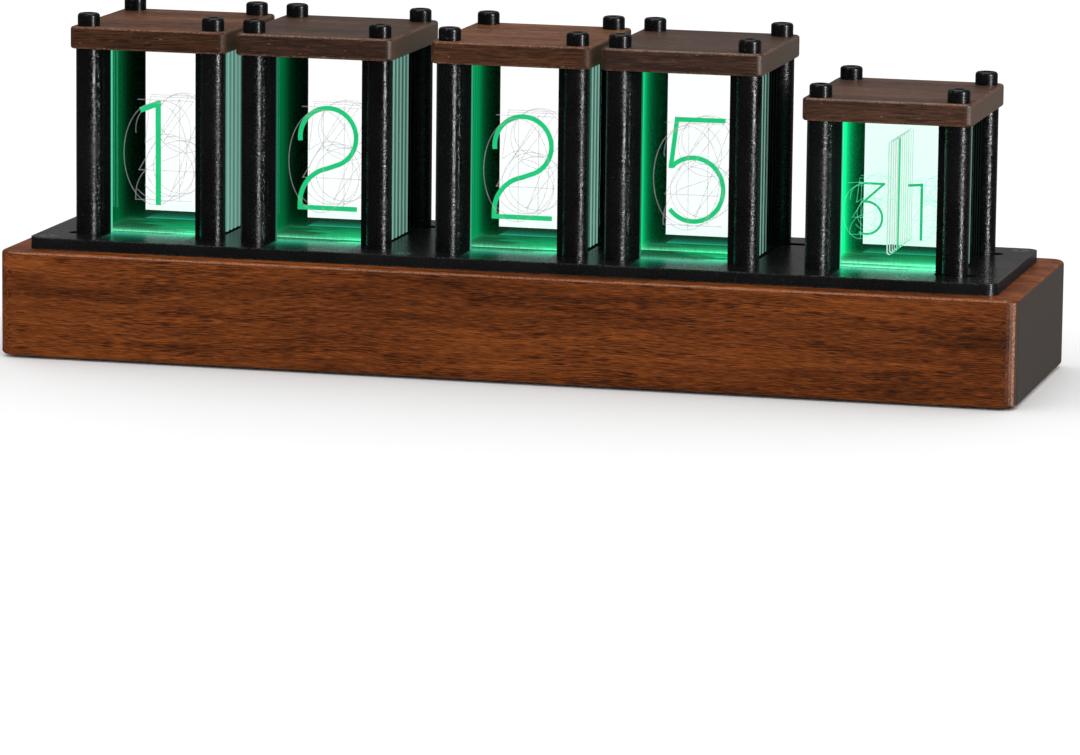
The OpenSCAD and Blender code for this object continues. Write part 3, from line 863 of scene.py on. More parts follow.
@dataclass(frozen=True)
class LitStroke(Finish):
    """Ground stroke that shines.

    Attributes:
        glow: colour of its light.
    """

    glow: Colour = (0.016, 0.578, 0.209)

    def dress(self, shader: Shader, skin: Any) -> None:
        """Wires the ground texture and its light.

        Args:
            shader: helper of the material's tree.
            skin: inputs of the Principled shader.
        """
        place = shader.place()
        grit = shader.noise(place, 5200.0)
        drift = shader.remap(shader.noise(place, 160.0, 1.0), 0.3, 0.7, 0.94, 1.04)
        shader.feed(skin["Base Color"], shader.scaled(self.glow, grit * 0.04))
        shader.feed(skin["Normal"], shader.bump(grit, 0.1, 0.02))
        shader.shine(skin, shader.scaled(self.glow, drift))


@dataclass(frozen=True)
class GroundStroke(Glass):
    """Ground stroke that is off: it holds back some of the light behind it and scatters a little.

    Attributes:
        shade: share of the light that passes.
        scatter: light that it sends out.
    """

    specular: float = 0.5
    bend: float = 1.0
    mirror: float = 0.0
    shade: Colour = (0.61, 0.595, 0.61)
    scatter: Colour = (0.096, 0.093, 0.096)

    def dress(self, shader: Shader, skin: Any) -> None:
        """Wires the ground texture.

        Args:
            shader: helper of the material's tree.
            skin: inputs of the Principled shader.
        """
        super().dress(shader, skin)
        grit = shader.noise(shader.place(), 500.0)
        passed = shader.remap(grit, 0.3, 0.7, 0.94, 1.04)
        shader.feed(skin["Base Color"], shader.scaled(self.shade, passed))
        shader.shine(skin, shader.scaled(self.scatter, shader.remap(grit, 0.3, 0.7, 0.85, 1.15)))


@dataclass(frozen=True)
class PaleFloor(Finish):
    """Plain pale studio floor."""

    def dress(self, shader: Shader, skin: Any) -> None:
        """Wires a barely mottled white.

        Args:
            shader: helper of the material's tree.
            skin: inputs of the Principled shader.
        """
        drift = shader.noise(shader.place(), 3.0)
        stops = [(0.3, (0.97, 0.97, 0.97)), (0.7, (0.99, 0.99, 0.99))]
        shader.feed(skin["Base Color"], shader.ramp(drift, stops))


class Pen:
    """Centre lines of the ten figures, in millimetres from the middle of the foot line.

    The figures are thin single strokes in a plain geometric hand, 32 mm tall.
    """

    STEP = 7.5  # degrees between two points of an arc

    def arc(self, x: float, z: float, wide: float, tall: float, start: float, end: float) -> Path:
        """Draws an arc of an ellipse, with angles in degrees from +X.

        Args:
            x: centre across.
            z: centre height.
            wide: half width.
            tall: half height.
            start: first angle.
            end: last angle.

        Returns:
            Points along the arc.
        """
        count = max(2, round(abs(end - start) / self.STEP))
        angles = [math.radians(start + (end - start) * i / count) for i in range(count + 1)]
        return [(x + wide * math.cos(a), z + tall * math.sin(a)) for a in angles]

    def lines(self, figure: int) -> list[Path]:
        """Draws one figure.

        Args:
            figure: 0 to 9.

        Returns:
            Its strokes.
        """
        drawn: dict[int, list[Path]] = {
            0: [self.arc(0, 16.4, 10.4, 16.2, 90, 450)],
            1: [[(-6.1, 29.6), (-0.2, 31.9), (-0.1, -0.4)]],
            2: [self.arc(0.4, 23.1, 9.1, 9.2, 188, -74) + self.arc(2.2, 2.2, 10.9, 11.2, 101, 180)
                + [(-8.7, 0.7), (9.9, 0.7)]],
            3: [[(-9.2, 32.1), (9.2, 32.1), (-0.9, 18.6)]
                + self.arc(-1.0, 9.2, 10.4, 9.3, 84, -142)],
            4: [[(3.7, 0.0), (3.7, 32.1), (-9.8, 9.2), (9.2, 9.2)]],
            5: [[(8.3, 32.3), (-7.1, 32.2), (-8.8, 17.6)]
                + self.arc(-1.7, 10.4, 9.6, 10.0, 133, -140)],
            6: [[(4.6, 32.1), (-6.2, 17.6)] + self.arc(0, 9.7, 9.7, 9.6, 141, 501)],
            7: [[(-9.2, 32.0), (9.2, 32.0), (-2.6, 0.0)]],
            8: [self.arc(0, 24.6, 7.8, 7.5, 90, 450), self.arc(0, 8.6, 9.4, 8.5, 90, 450)],
            9: [[(-4.6, 0.0), (6.2, 14.5)] + self.arc(0, 22.4, 9.7, 9.6, -39, 321)],
        }
        return drawn[figure]

    def small_lines(self, figure: int) -> list[Path]:
        """Draws one small figure; its 1 has a level flag and its 3 is narrow.

        Args:
            figure: 0 to 9.

        Returns:
            Its strokes.
        """
        if figure == 1:
            return [[(-9.0, 32.8), (-0.8, 33.5), (-0.7, -0.2)]]
        if figure == 3:
            return [[(-4.6, 31.1), (10.4, 31.1), (-1.6, 20.0)]
                    + self.arc(-0.2, 10.1, 9.9, 9.9, 96, -115)]
        return self.lines(figure)


@dataclass
class Ribbon:
    """Round wire along points, flattened to a shallow groove.

    Attributes:
        points: centre line in millimetres.
        radius: half width.
        thick: half depth.
    """

    points: list[Vector]
    radius: float
    thick: float

    ROUND: ClassVar[int] = 3  # steps that round the wire
    TOUCH: ClassVar[float] = 1e-4  # gap below which a line is closed, in millimetres

    def add_to(self, mesh: bmesh.types.BMesh, move: Vector) -> None:
        """Adds the ribbon to a mesh.

        Args:
            mesh: receives the ribbon.
            move: place of the centre line's origin, in millimetres.
        """
        curve = bpy.data.curves.new("stroke", "CURVE")
        curve.dimensions = "3D"
        curve.bevel_depth = self.radius
        curve.bevel_resolution = self.ROUND
        curve.use_fill_caps = True
        spline = curve.splines.new("POLY")
        closed = (self.points[0] - self.points[-1]).length < self.TOUCH
        points = self.points[:-1] if closed else self.points
        spline.points.add(len(points) - 1)
        for knot, point in zip(spline.points, points):
            knot.co = (*point, 1.0)
        spline.use_cyclic_u = closed
        holder = add_object("stroke", curve)
        graph = bpy.context.evaluated_depsgraph_get()
        tube = bpy.data.meshes.new_from_object(holder.evaluated_get(graph))
        tube.transform(Matrix.Scale(self.thick / self.radius, 4, Vector((0, 1, 0))))
        tube.transform(Matrix.Translation(move))
        tube.transform(Matrix.Scale(MM, 4))
        mesh.from_mesh(tube)
        bpy.data.objects.remove(holder)
        bpy.data.curves.remove(curve)
        bpy.data.meshes.remove(tube)


@dataclass
class Stroke:
    """One engraved figure in a pane.

    Attributes:
        figure: 0 to 9.
        place: middle of its foot line, in millimetres.
        size: scale against a figure 32 mm tall.
        width: stroke width in millimetres.
        depth: depth of the groove in millimetres.
    """

    figure: int
    place: Vector
    size: float
    width: float
    depth: float = 0.24

    SHARP: ClassVar[float] = 0.5  # turn at which a line is split, in radians
    LAP: ClassVar[float] = 0.45  # overlap at a corner, in stroke widths

    def cut(self, mesh: bmesh.types.BMesh) -> None:
        """Sweeps the figure's strokes and adds them to a mesh.

        Args:
            mesh: receives the strokes.
        """
        pen = Pen()
        for line in pen.small_lines(self.figure) if self.size < 1.0 else pen.lines(self.figure):
            points = [Vector((x * self.size, 0.0, z * self.size)) for x, z in line]
            for run in self.runs(points):
                Ribbon(run, self.width / 2, self.depth / 2).add_to(mesh, self.place)

    def runs(self, points: list[Vector]) -> list[list[Vector]]:
        """Splits a line at its sharp corners, where the runs overlap.

        Args:
            points: centre line in millimetres.

        Returns:
            Centre line of each run.
        """
        split = [0]
        for i in range(1, len(points) - 1):
            if (points[i] - points[i - 1]).angle(points[i + 1] - points[i]) > self.SHARP:
                split.append(i)
        split.append(len(points) - 1)
        runs = [points[start:end + 1] for start, end in zip(split, split[1:])]
        for before, after in zip(runs, runs[1:]):
            ahead = (before[-1] - before[-2]).normalized()
            behind = (after[0] - after[1]).normalized()
            before[-1] = before[-1] + ahead * self.width * self.LAP
            after[0] = after[0] + behind * self.width * self.LAP
        return runs


def add_object(name: str, data: bpy.types.ID) -> bpy.types.Object:
    """Adds an object to the scene.

    Args:
        name: name of the object.
        data: its mesh, curve, light or camera.

    Returns:
        The new object.
    """
    made = bpy.data.objects.new(name, data)
    bpy.context.scene.collection.objects.link(made)
    return made


def add_mesh(name: str, mesh: bmesh.types.BMesh, finishes: list[Finish]) -> bpy.types.Object:
    """Adds a mesh to the scene.

    Args:
        name: name of the object.
        mesh: finished mesh in metres, in the clock's frame; it is used up.
        finishes: one finish per material index.

    Returns:
        The new object.
    """
    data = bpy.data.meshes.new(name)
    mesh.to_mesh(data)
    mesh.free()
    for finish in finishes:
        data.materials.append(finish.material())
    return add_object(name, data)


def add_piece(name: str, mesh: bmesh.types.BMesh, finishes: list[Finish]) -> bpy.types.Object:
    """Adds a new piece that rides on the clock.

    Args:
        name: name of the piece.
        mesh: finished mesh in metres, in the clock's frame; it is used up.
        finishes: one finish per material index.

    Returns:
        The piece.
    """
    piece = add_mesh(name, mesh, finishes)
    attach(piece, CLOCK)
    LOG.info("piece %s: %d faces", name, len(piece.data.polygons))
    return piece


def dress_node(node: str, finish: Finish) -> None:
    """Gives a solid its finish.

    Args:
        node: name of the solid.
        finish: finish for its one material slot.
    """
    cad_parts[node].material_slots[0].material = finish.material()
    LOG.info("solid %s: %s", node, finish.name)


def centre_of(node: str) -> tuple[Triple, Triple]:
    """Returns the centre and half sizes of a solid's box, in metres."""
    low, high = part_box(node)
    return tuple((low + high) / 2), tuple((high - low) / 2)


class Finishes:
    """Finishes that several sub-assemblies share, or whose place each module sets."""

    BLACK_SCREW = Coat("gloss_black_screw", rough=0.27, specular=0.17, spread=0.05, scale=1500.0,
                       depth=0.02, strength=0.06, dark=(0.002, 0.002, 0.0022),
                       bright=(0.007, 0.007, 0.0075))
    # deck screws: lighter grey with pale specks, painted glints
    DECK_SCREW = Coat("black_screw_with_painted_glints", rough=0.2, specular=0.5, scale=900.0, depth=0.08,
                      strength=0.6, dark=(0.010, 0.010, 0.011), bright=(0.045, 0.045, 0.047),
                      speck=(0.2, 0.2, 0.2))
    STEEL = Coat("zinc_screw", rough=0.32, metal=1.0, dark=(0.42, 0.43, 0.44),
                 bright=(0.6, 0.61, 0.62), speck=(0.35, 0.35, 0.36), scale=1800.0, depth=0.02)
    BOARD = Coat("solder_mask", rough=0.38, dark=(0.008, 0.075, 0.025), bright=(0.016, 0.13, 0.045),
                 speck=(0.35, 0.3, 0.12), scale=700.0, depth=0.04)
    LIGHT_CHIP = LightChip("light_chip_on", rough=0.3, dark=(0.5, 0.7, 0.55),
                           bright=(0.7, 0.95, 0.8), speck=(0.8, 0.7, 0.3), scale=1500.0)
    PLASTIC = Coat("moulded_black", rough=0.46, specular=0.4, dark=(0.006, 0.006, 0.0065),
                   bright=(0.015, 0.015, 0.016), scale=2600.0, depth=0.05, strength=0.35)
    BRASS = Coat("turned_brass", rough=0.3, metal=1.0, dark=(0.55, 0.38, 0.13),
                 bright=(0.76, 0.56, 0.24), speck=(0.42, 0.28, 0.1), scale=1600.0, depth=0.02)
    NICKEL = Coat("nickel_plate", rough=0.26, metal=1.0, dark=(0.5, 0.5, 0.49),
                  bright=(0.68, 0.68, 0.67), speck=(0.4, 0.4, 0.4), scale=1900.0, depth=0.015)
    RIBBON = Coat("flat_cable", rough=0.55, dark=(0.22, 0.23, 0.24), bright=(0.36, 0.37, 0.39),
                  speck=(0.45, 0.1, 0.08), scale=900.0)
    BUTTON = Coat("gloss_button", rough=0.24, specular=0.5, dark=(0.004, 0.004, 0.0045),
                  bright=(0.011, 0.011, 0.012), scale=2400.0, depth=0.02, strength=0.2)
    RUBBER = Coat("soft_rubber", rough=0.75, specular=0.3, dark=(0.008, 0.008, 0.008),
                  bright=(0.022, 0.022, 0.022), scale=1600.0, depth=0.08, strength=0.4)
    DECK = DeckCoat("satin_black_deck", rough=0.27, specular=0.27, scale=1500.0, depth=0.02,
                    strength=0.05, dark=(0.005, 0.005, 0.0055), bright=(0.010, 0.010, 0.011),
                    speck=(0.014, 0.014, 0.015))
    POST = PostCoat("crinkle", rough=0.26, specular=0.2, spread=0.16, scale=1700.0, depth=0.12,
                    strength=0.75, dark=(0.002, 0.002, 0.0022), bright=(0.006, 0.006, 0.0065),
                    speck=(0.012, 0.012, 0.012))
    COMB = LitComb("comb", rough=0.4, specular=0.0)
    BASE = Wood("oiled_walnut", rough=0.36, specular=0.07, seed=(0.31, 0.02, -0.013), wear=0.45,
                shade=1.02, top=1.7, edge_highlight=0.85)
    CAP = Wood("cap_walnut", deep=(0.014, 0.0055, 0.0026), brown=(0.036, 0.0140, 0.0062),
               warm=(0.056, 0.0220, 0.0095), light=(0.085, 0.035, 0.016), end=(0.118, 0.072, 0.047),
               rough=0.42, wear=0.8, flecks=0.42)
    EDGE = PaneEdge("pane_edge", rough=0.3, specular=0.0)
    MARGIN = PaneMargin("sheet_margin")
    RIM = LitStroke("slot_rim", glow=(0.50, 0.74, 0.64))
    LIT_RIM = LitStroke("lit_slot_rim", glow=(0.018, 0.50, 0.21))
    STROKE = GroundStroke("ground_stroke")
    LIT_STROKE = LitStroke("lit_stroke")
    SMALL_STROKE = GroundStroke("small_ground_stroke", shade=(0.70, 0.76, 0.72),
                                scatter=(0.03, 0.23, 0.12))
    LIT_SMALL_STROKE = LitStroke("small_lit_stroke", glow=(0.018, 0.50, 0.21))


@dataclass
class Glow:
    """Light of one module.

    Attributes:
        left: light inside the left edges.
        deep: panes from the front whose left edges shine fully.
        floor: light on the comb between the panes.
        line: light on the flange edges.
        haze: light on the flange faces.
        foot: light above the feet of the panes.
        strip: light along the foot of a lit pane.
        edges: light of the right edges.
        gaps: light between the right edges.
        reach: panes from the front whose right edges shine.
        glow_tint: share of painted green glow that the clear sheets take.
    """

    left: float
    deep: float
    floor: float
    line: float
    haze: float = 0.002
    foot: float = 0.8
    strip: float = 1.0
    edges: float = 0.95
    gaps: float = 0.6
    reach: float = 6.5
    glow_tint: float = 0.0


@dataclass
class Lit:
    """A figure that is switched on.

    Attributes:
        figure: 0 to 9.
        width: width of its lit stroke, in millimetres.
        side: half of a date pane, or None on a full pane.
    """

    figure: int
    width: float
    side: Side | None = None


@dataclass
class DisplayModule:
    """Stack of ten engraved panes between four posts under a wooden cap.

    Attributes:
        name: prefix of its solids.
        lit: figures that are on.
        cap: finish of its cap, without its place.
        glow: its light.
        margin: width of the bright margin of a pane, in millimetres.
        pitch: distance from pane to pane, in millimetres.
        deck: height of the deck's top, in millimetres.
        foot: height of the figures' foot line above the deck, in millimetres.
        flange: width of a pane's margin that a flange covers, in millimetres.
        chamfer: chamfer along the panes' edges, in millimetres.
        thin: stroke widths of a full and a small figure that is off, in millimetres.
        small_size: scale of a small figure.
        small_place: distance of a small figure from the middle, in millimetres.
        slot_half: half width within which a date pane's slot lies, in millimetres.
        bar_foot: foot of the lit bar beside the slot, from the middle and the deck, in millimetres.
        bar_size: height, half width and half depth of the bar, in millimetres.
    """

    name: str
    lit: list[Lit]
    cap: Wood
    glow: Glow
    margin: float = 0.7
    pitch: float = 4.1
    deck: float = 37.5
    foot: float = 9.0
    flange: float = 6.15
    chamfer: float = 0.14
    thin: tuple[float, float] = (0.32, 0.24)
    small_size: float = 0.51
    small_place: float = 9.4
    slot_half: float = 4.0
    bar_foot: tuple[float, float] = (0.53, 4.9)
    bar_size: Triple = (34.2, 0.27, 0.3)

    WELD: ClassVar[float] = 1e-6  # gap at which corners are joined, in metres
    CUT: ClassVar[float] = 1e-7  # gap at which a cut takes a corner as its own, in metres
    FLAT: ClassVar[float] = math.radians(1.0)  # turn below which faces are made one
    SHARP: ClassVar[float] = 1.2  # turn above which an edge is chamfered, in radians
    FACING: ClassVar[float] = 0.5  # share of a normal that says where a face looks
    SLOT_FOOT: ClassVar[float] = 2.0  # height above the deck where the slot starts, in millimetres
    FADE: ClassVar[float] = 3.0  # panes over which the light of the left edges fades
    UNEVEN: ClassVar[float] = 0.35  # how far the left edges differ among themselves
    TURN: ClassVar[float] = 7.3  # step from pane to pane in that difference, in radians
    EDGE_LOSS: ClassVar[float] = 0.05  # light that the right edges lose from pane to pane
    FOOT_LOSS: ClassVar[float] = 0.06  # light that the feet lose from pane to pane
    # painted green glow in the right margins
    RIGHT_GLOW_TINT: ClassVar[float] = 0.1  # share of green in the right margins
    # Light along the foot of a lit pane, of the front pane and of any other one.
    STRIPS: ClassVar[tuple[float, float, float]] = (1.0, 0.5, 0.04)

    def __post_init__(self) -> None:
        """Reads where the panes stand."""
        low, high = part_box(f"{self.name}_panes")
        self.middle = (low.x + high.x) / 2 / MM
        self.half = (high.x - low.x) / 2 / MM
        self.small = any(entry.side is not None for entry in self.lit)

    def window(self) -> tuple[float, float]:
        """Returns the centre and half width of the window between the flanges."""
        return self.middle, self.half - self.flange

    def build(self) -> None:
        """Builds the panes and figures and dresses the solids."""
        self.panes()
        self.figures()
        self.dress()

    def panes(self) -> None:
        """Builds the ten panes from a copy of their solid, chamfered and with lit margins."""
        node = f"{self.name}_panes"
        mesh = bmesh.new()
        mesh.from_mesh(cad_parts[node].data)
        bmesh.ops.remove_doubles(mesh, verts=mesh.verts, dist=self.WELD)
        bmesh.ops.dissolve_limit(mesh, angle_limit=self.FLAT, verts=mesh.verts, edges=mesh.edges)
        sharp = [edge for edge in mesh.edges
                 if edge.is_manifold and edge.calc_face_angle() > self.SHARP]
        bmesh.ops.bevel(mesh, geom=sharp, offset=self.chamfer * MM, offset_type="OFFSET",
                        affect="EDGES", segments=1, profile=0.5, material=-1, clamp_overlap=True)
        for side in Side:
            at = (self.middle + side.value * (self.half - self.margin)) * MM
            bmesh.ops.bisect_plane(mesh, geom=[*mesh.verts, *mesh.edges, *mesh.faces],
                                   dist=self.CUT, plane_co=(at, 0.0, 0.0),
                                   plane_no=(1.0, 0.0, 0.0))
        self.mark(mesh)
        dressed = {PanePart.CLEAR: ClearPane(f"clear_sheet_{self.half:.0f}", half=self.half),
                   PanePart.EDGE: Finishes.EDGE, PanePart.MARGIN: Finishes.MARGIN,
                   PanePart.RIM: Finishes.RIM, PanePart.LIT_RIM: Finishes.LIT_RIM}
        finishes = [dressed[part] for part in PanePart]
        piece = add_piece(f"{self.name}_clear_panes", mesh, finishes)
        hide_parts(node)

    def mark(self, mesh: bmesh.types.BMesh) -> None:
        """Sets finish, light and sheet coordinates of every face of the panes.

        Args:
            mesh: the panes.
        """
        names = ("glow", "figure_glow", "edge_light", "foot_glow", "glow_tint")
        marks = {name: mesh.faces.layers.float.new(name) for name in names}
        sheet = mesh.loops.layers.uv.new("sheet")
        for face in mesh.faces:
            spot = face.calc_center_median() / MM
            pane = min(PANES - 1, max(0, round(spot.y / self.pitch + MID_PANE)))
            part = self.part_of(face.normal, spot, pane)
            face.material_index = part.value
            light = self.light_of(part, pane, spot.x > self.middle, face.normal.y < 0)
            for name, value in light.items():
                face[marks[name]] = value
            for loop in face.loops:
                at = loop.vert.co / MM
                across, rise = at.x - self.middle, at.z - self.deck
                loop[sheet].uv = (across / SHEET_UNIT, rise / SHEET_UNIT)

    def part_of(self, normal: Vector, spot: Vector, pane: int) -> PanePart:
        """Finds the part of a pane that a face belongs to.

        Args:
            normal: normal of the face.
            spot: centre of the face, in millimetres.
            pane: pane of the face, counted from the front.

        Returns:
            The part.
        """
        out = abs(spot.x - self.middle)
        if abs(normal.y) >= self.FACING:
            return PanePart.MARGIN if out > self.half - self.margin else PanePart.CLEAR
        if self.small and out < self.slot_half and spot.z > self.deck + self.SLOT_FOOT:
            lit = pane == self.lit[0].figure and normal.x < -self.FACING
            return PanePart.LIT_RIM if lit else PanePart.RIM
        return PanePart.EDGE

    def light_of(self, part: PanePart, pane: int, right: bool, front: bool) -> dict[str, float]:
        """Works out the light of a face of the panes.

        Args:
            part: part of the pane.
            pane: its pane, counted from the front.
            right: whether it lies on the right half.
            front: whether it faces forwards.

        Returns:
            Light marks by name; one that is left out is 0.
        """
        lit = pane in [entry.figure for entry in self.lit]
        near = max(0.0, min(1.0, (self.glow.deep + self.FADE - pane) / self.FADE))
        uneven = 1.0 + self.UNEVEN * math.sin(self.TURN * pane + self.middle)
        within = max(0.0, min(1.0, self.glow.reach + 0.5 - pane))
        shine = within * (1.0 - self.EDGE_LOSS * pane)
        marks = {"glow": self.glow.left * near * uneven, "figure_glow": float(lit),
                 "glow_tint": self.glow.glow_tint, "foot_glow": self.glow.foot * (1.0 - self.FOOT_LOSS * pane)}
        # left margins take the full painted green glow, right margins a little of it
        if part is PanePart.MARGIN and right:
            marks |= {"glow": 0.0, "glow_tint": self.RIGHT_GLOW_TINT, "edge_light": shine * self.glow.gaps}
        elif part is PanePart.MARGIN:
            marks["glow_tint"] = 1.0
        elif part is not PanePart.CLEAR:
            marks["edge_light"] = shine * self.glow.edges
        elif front:
            bright, front_one, other = self.STRIPS
            share = bright if lit else front_one if pane == 0 else other
            marks["edge_light"] = self.glow.strip * share
        return marks

    def figures(self) -> None:
        """Engraves every pane and lights the figures that are on."""
        plain, bright = bmesh.new(), bmesh.new()
        for pane in range(PANES):
            for side in Side if self.small else (None,):
                shown = [entry for entry in self.lit if entry.figure == pane and entry.side == side]
                self.stroke(pane, side, shown).cut(bright if shown else plain)
        finishes = Finishes.STROKE, Finishes.LIT_STROKE
        if self.small:
            finishes = Finishes.SMALL_STROKE, Finishes.LIT_SMALL_STROKE
            tall, radius, thick = self.bar_size
            bar = Ribbon([Vector((0.0, 0.0, 0.0)), Vector((0.0, 0.0, tall))], radius, thick)
            bar.add_to(bright, self.spot(self.lit[0].figure, *self.bar_foot))
        add_piece(f"{self.name}_plain_figures", plain, [finishes[0]])
        add_piece(f"{self.name}_lit_figures", bright, [finishes[1]])

    def spot(self, pane: int, across: float, rise: float) -> Vector:
        """Returns a place in a pane, from the middle and the deck, in millimetres."""
        return Vector((self.middle + across, (pane - MID_PANE) * self.pitch, self.deck + rise))

    def stroke(self, figure: int, side: Side | None, shown: list[Lit]) -> Stroke:
        """Lays out the engraving of one figure.

        Args:
            figure: 0 to 9.
            side: half of the pane, or None for a full pane.
            shown: its entry if it is lit, else nothing.

        Returns:
            The engraving.
        """
        across = 0.0 if side is None else side.value * self.small_place
        size, thin = (1.0, self.thin[0]) if side is None else (self.small_size, self.thin[1])
        width = shown[0].width if shown else thin
        return Stroke(figure, self.spot(figure, across, self.foot), size, width)

    def dress(self) -> None:
        """Gives the module's solids their finishes."""
        centre, half = centre_of(f"{self.name}_cap")
        middle, window = self.window()
        finishes = {
            "cap": replace(self.cap, name=f"cap_walnut_{self.name}", centre=centre, half=half),
            "posts": replace(Finishes.POST, name=f"crinkle_{self.name}", middle=middle,
                             window=window, line=self.glow.line, haze=self.glow.haze),
            "pane_holder": replace(Finishes.COMB, name=f"comb_{self.name}", middle=middle,
                                   half=self.half, light=self.glow.floor),
            "cap_screws": Finishes.BLACK_SCREW,
            "post_screws": Finishes.STEEL,
            "led_board": Finishes.BOARD,
            "leds": Finishes.LIGHT_CHIP,
        }
        for part, finish in finishes.items():
            dress_node(f"{self.name}_{part}", finish)


MODULES = [
    DisplayModule("hour_tens", [Lit(1, 1.85)],
                  replace(Finishes.CAP, specular=0.07, seed=(0.4, 0.07, 0.03), top=3.2),
                  Glow(0.30, 5.5, floor=1.1, line=0.75, gaps=1.0, reach=7.0), margin=1.1),
    DisplayModule("hour_ones", [Lit(2, 1.6)],
                  replace(Finishes.CAP, specular=0.22, seed=(0.9, -0.04, 0.06), shade=1.15,
                          top=1.7),
                  Glow(0.52, 5.5, floor=1.35, line=0.14, gaps=0.55, reach=7.5), margin=0.95),
    DisplayModule("minute_tens", [Lit(2, 1.6)],
                  replace(Finishes.CAP, specular=0.07, seed=(1.7, 0.02, -0.05), shade=1.7, top=2.8),
                  Glow(0.82, 6.5, floor=1.2, line=0.4, haze=0.004, edges=1.1)),
    DisplayModule("minute_ones", [Lit(5, 1.55)],
                  replace(Finishes.CAP, specular=0.26, seed=(2.6, 0.09, 0.01), shade=1.65, top=1.2),
                  Glow(2.6, 5.0, floor=1.25, line=0.16, haze=0.004, gaps=0.25, reach=6.0,
                       glow_tint=0.02)),
    DisplayModule("date", [Lit(3, 0.74, Side.LEFT), Lit(1, 0.86, Side.RIGHT)],
                  replace(Finishes.CAP, specular=0.22, seed=(3.3, -0.08, -0.02), shade=1.5,
                          top=1.7),
                  Glow(4.1, 7.0, floor=0.95, line=0.6, haze=0.01, foot=1.0, strip=1.6, edges=0.8,
                       gaps=0.06, reach=5.3, glow_tint=0.14)),
]


@dataclass
class WoodenBase:
    """Walnut block on rubber feet with the black deck screwed on top.

    Attributes:
        modules: modules that stand on the deck.
    """

    modules: list[DisplayModule]

    def dress(self) -> None:
        """Gives the base and the deck their finishes."""
        centre, half = centre_of("base_block")
        dress_node("base_block", replace(Finishes.BASE, centre=centre, half=half))
        dress_node("rubber_feet", Finishes.RUBBER)
        centre, half = centre_of("deck_plate")
        windows = tuple(module.window() for module in self.modules)
        dress_node("deck_plate", replace(Finishes.DECK, centre=centre, half=half, windows=windows))
        dress_node("deck_screws", Finishes.DECK_SCREW)


@dataclass
class Works:
    """Boards, cell and cables inside the base, and what shows on its rear panel.

    Attributes:
        finishes: finish of each solid.
    """

    finishes: tuple[tuple[str, Finish], ...] = (
        ("main_board", Finishes.BOARD),
        ("controller_chip", Finishes.PLASTIC),
        ("board_spacers", Finishes.BRASS),
        ("board_screws", Finishes.STEEL),
        ("backup_cell", Finishes.NICKEL),
        ("cell_holder", Finishes.PLASTIC),
        ("ribbon_cables", Finishes.RIBBON),
        ("rear_panel", Finishes.PLASTIC),
        ("panel_screws", Finishes.BLACK_SCREW),
        ("usb_socket", Finishes.NICKEL),
        ("push_switches", Finishes.PLASTIC),
        ("hour_button", Finishes.BUTTON),
        ("minute_button", Finishes.BUTTON),
        ("mode_button", Finishes.BUTTON),
    )

    def dress(self) -> None:
        """Gives each inner and rear piece its finish."""
        for node, finish in self.finishes:
            dress_node(node, finish)


@dataclass
class Softbox:
    """Soft light that shows as a highlight.

    Attributes:
        name: name of the light.
        place: where it stands, in metres.
        aim: point that it faces, in metres.
        size: width and height, in metres.
        power: power in watts.
    """

    name: str
    place: Triple
    aim: Triple
    size: tuple[float, float]
    power: float

    def build(self) -> None:
        """Sets the light up."""
        light = bpy.data.lights.new(self.name, "AREA")
        light.shape = "RECTANGLE"
        light.size, light.size_y = self.size
        light.energy = self.power
        lamp = add_object(self.name, light)
        lamp.location = self.place
        ahead = Vector(self.aim) - Vector(self.place)
        lamp.rotation_euler = ahead.to_track_quat("-Z", "Y").to_euler()
        lamp.visible_diffuse = False
        lamp.visible_camera = False


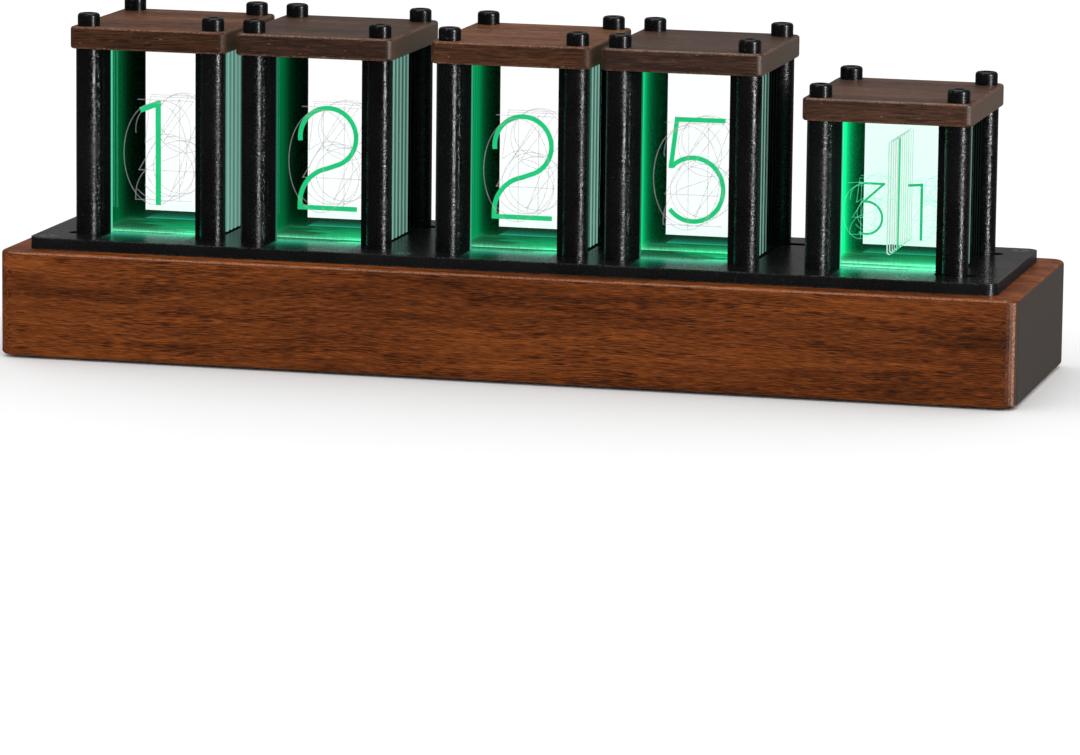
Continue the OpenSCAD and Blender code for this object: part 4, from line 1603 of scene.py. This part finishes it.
@dataclass
class Studio:
    """Pale floor, white surroundings, soft lights and the photograph's camera.

    Attributes:
        lens: focal length in millimetres for the sensor's width.
        sensor: width of the sensor, in millimetres.
        eye: camera place, in millimetres.
        right: camera's own X axis.
        up: camera's own Y axis.
        back: camera's own Z axis.
        clip: nearest and farthest distance that shows, in metres.
        dome: brightness of the white surroundings.
        floor_half: half size of the floor, in metres.
        deep: bounces of light inside the panes.
        shallow: bounces of light elsewhere.
        boxes: soft lights.
    """

    lens: float = 204.7276
    sensor: float = 36.0
    eye: Triple = (466.7627, -1846.4483, 320.9957)
    right: Triple = (0.9693005, 0.2456209, 0.0112665)
    up: Triple = (-0.0522411, 0.1609522, 0.9855786)
    back: Triple = (0.2402654, -0.9559104, 0.1688425)
    clip: tuple[float, float] = (0.05, 50.0)
    dome: float = 1.11
    floor_half: float = 6.0
    deep: int = 128
    shallow: int = 4
    boxes: tuple[Softbox, ...] = (
        Softbox("strip_right", (1.16, -0.64, 0.22), (0.0, 0.0, 0.07), (0.06, 1.1), 60.0),
        Softbox("box_over", (0.0, 0.25, 1.3), (0.0, 0.0, 0.08), (0.9, 0.6), 10.0),
        Softbox("box_left", (-0.5, -0.9, 1.0), (0.0, 0.0, 0.08), (0.35, 0.3), 3.0),
    )

    def build(self) -> None:
        """Builds floor, surroundings, lights and camera."""
        self.floor()
        self.surroundings()
        for box in self.boxes:
            box.build()
        self.camera()
        self.exposure()

    def floor(self) -> None:
        """Lays the floor."""
        mesh = bmesh.new()
        bmesh.ops.create_grid(mesh, x_segments=4, y_segments=4, size=self.floor_half)
        floor = add_mesh("floor", mesh, [PaleFloor("pale_floor", rough=0.9, specular=0.1)])
        floor.visible_glossy = False

    def surroundings(self) -> None:
        """Sets white surroundings, dimmer in reflections except behind the clock."""
        world = bpy.data.worlds.new("studio")
        world.use_nodes = True
        world.node_tree.nodes.clear()
        shader = Shader(world.node_tree)
        _, depth, height = shader.split(shader.out("TexCoord", {}, "Generated"))
        around = shader.remap(depth, 0.35, 0.95, 0.04, 0.20)
        around = around + shader.remap(height, 0.1, 0.9, 0.0, 0.12)
        window = shader.remap(depth, 0.80, 0.97, 0.0, 0.35)
        ray = {output.name: Wire(shader, output) for output in shader.node("LightPath", {}).outputs}
        around = shader.pick(shader.math("MINIMUM", ray["Transmission Depth"], 1.0), around, 0.01)
        mirrored = shader.pick(ray["Is Transmission Ray"], around, window)
        glossy = shader.math("MINIMUM", ray["Glossy Depth"], 1.0)
        strength = shader.pick(glossy, self.dome, mirrored)
        sky = shader.out("Background", {"Color": (1.0, 1.0, 1.0), "Strength": strength})
        shader.node("OutputWorld", {"Surface": sky})
        bpy.context.scene.world = world

    def camera(self) -> None:
        """Stands the camera where the photograph was taken."""
        data = bpy.data.cameras.new("camera")
        data.lens = self.lens
        data.sensor_width = self.sensor
        data.clip_start, data.clip_end = self.clip
        camera = add_object("camera", data)
        axes = Matrix((self.right, self.up, self.back)).transposed().to_4x4()
        camera.matrix_world = Matrix.Translation(Vector(self.eye) * MM) @ axes
        bpy.context.scene.camera = camera

    def exposure(self) -> None:
        """Sets how deep light goes into the panes and how it is shown."""
        scene = bpy.context.scene
        cycles = scene.cycles
        cycles.max_bounces = cycles.transmission_bounces = self.deep
        cycles.transparent_max_bounces = self.deep
        cycles.diffuse_bounces = cycles.glossy_bounces = self.shallow
        cycles.use_denoising = True
        scene.view_settings.view_transform = "Standard"
        scene.view_settings.look = "None"


def main() -> None:
    """Builds the clock's looks and its studio."""
    logging.basicConfig(level=logging.INFO, format="%(message)s")
    SharedEffects().build()
    WoodenBase(MODULES).dress()
    for module in MODULES:
        module.build()
    Works().dress()
    Studio().build()


if __name__ == "__main__":
    main()
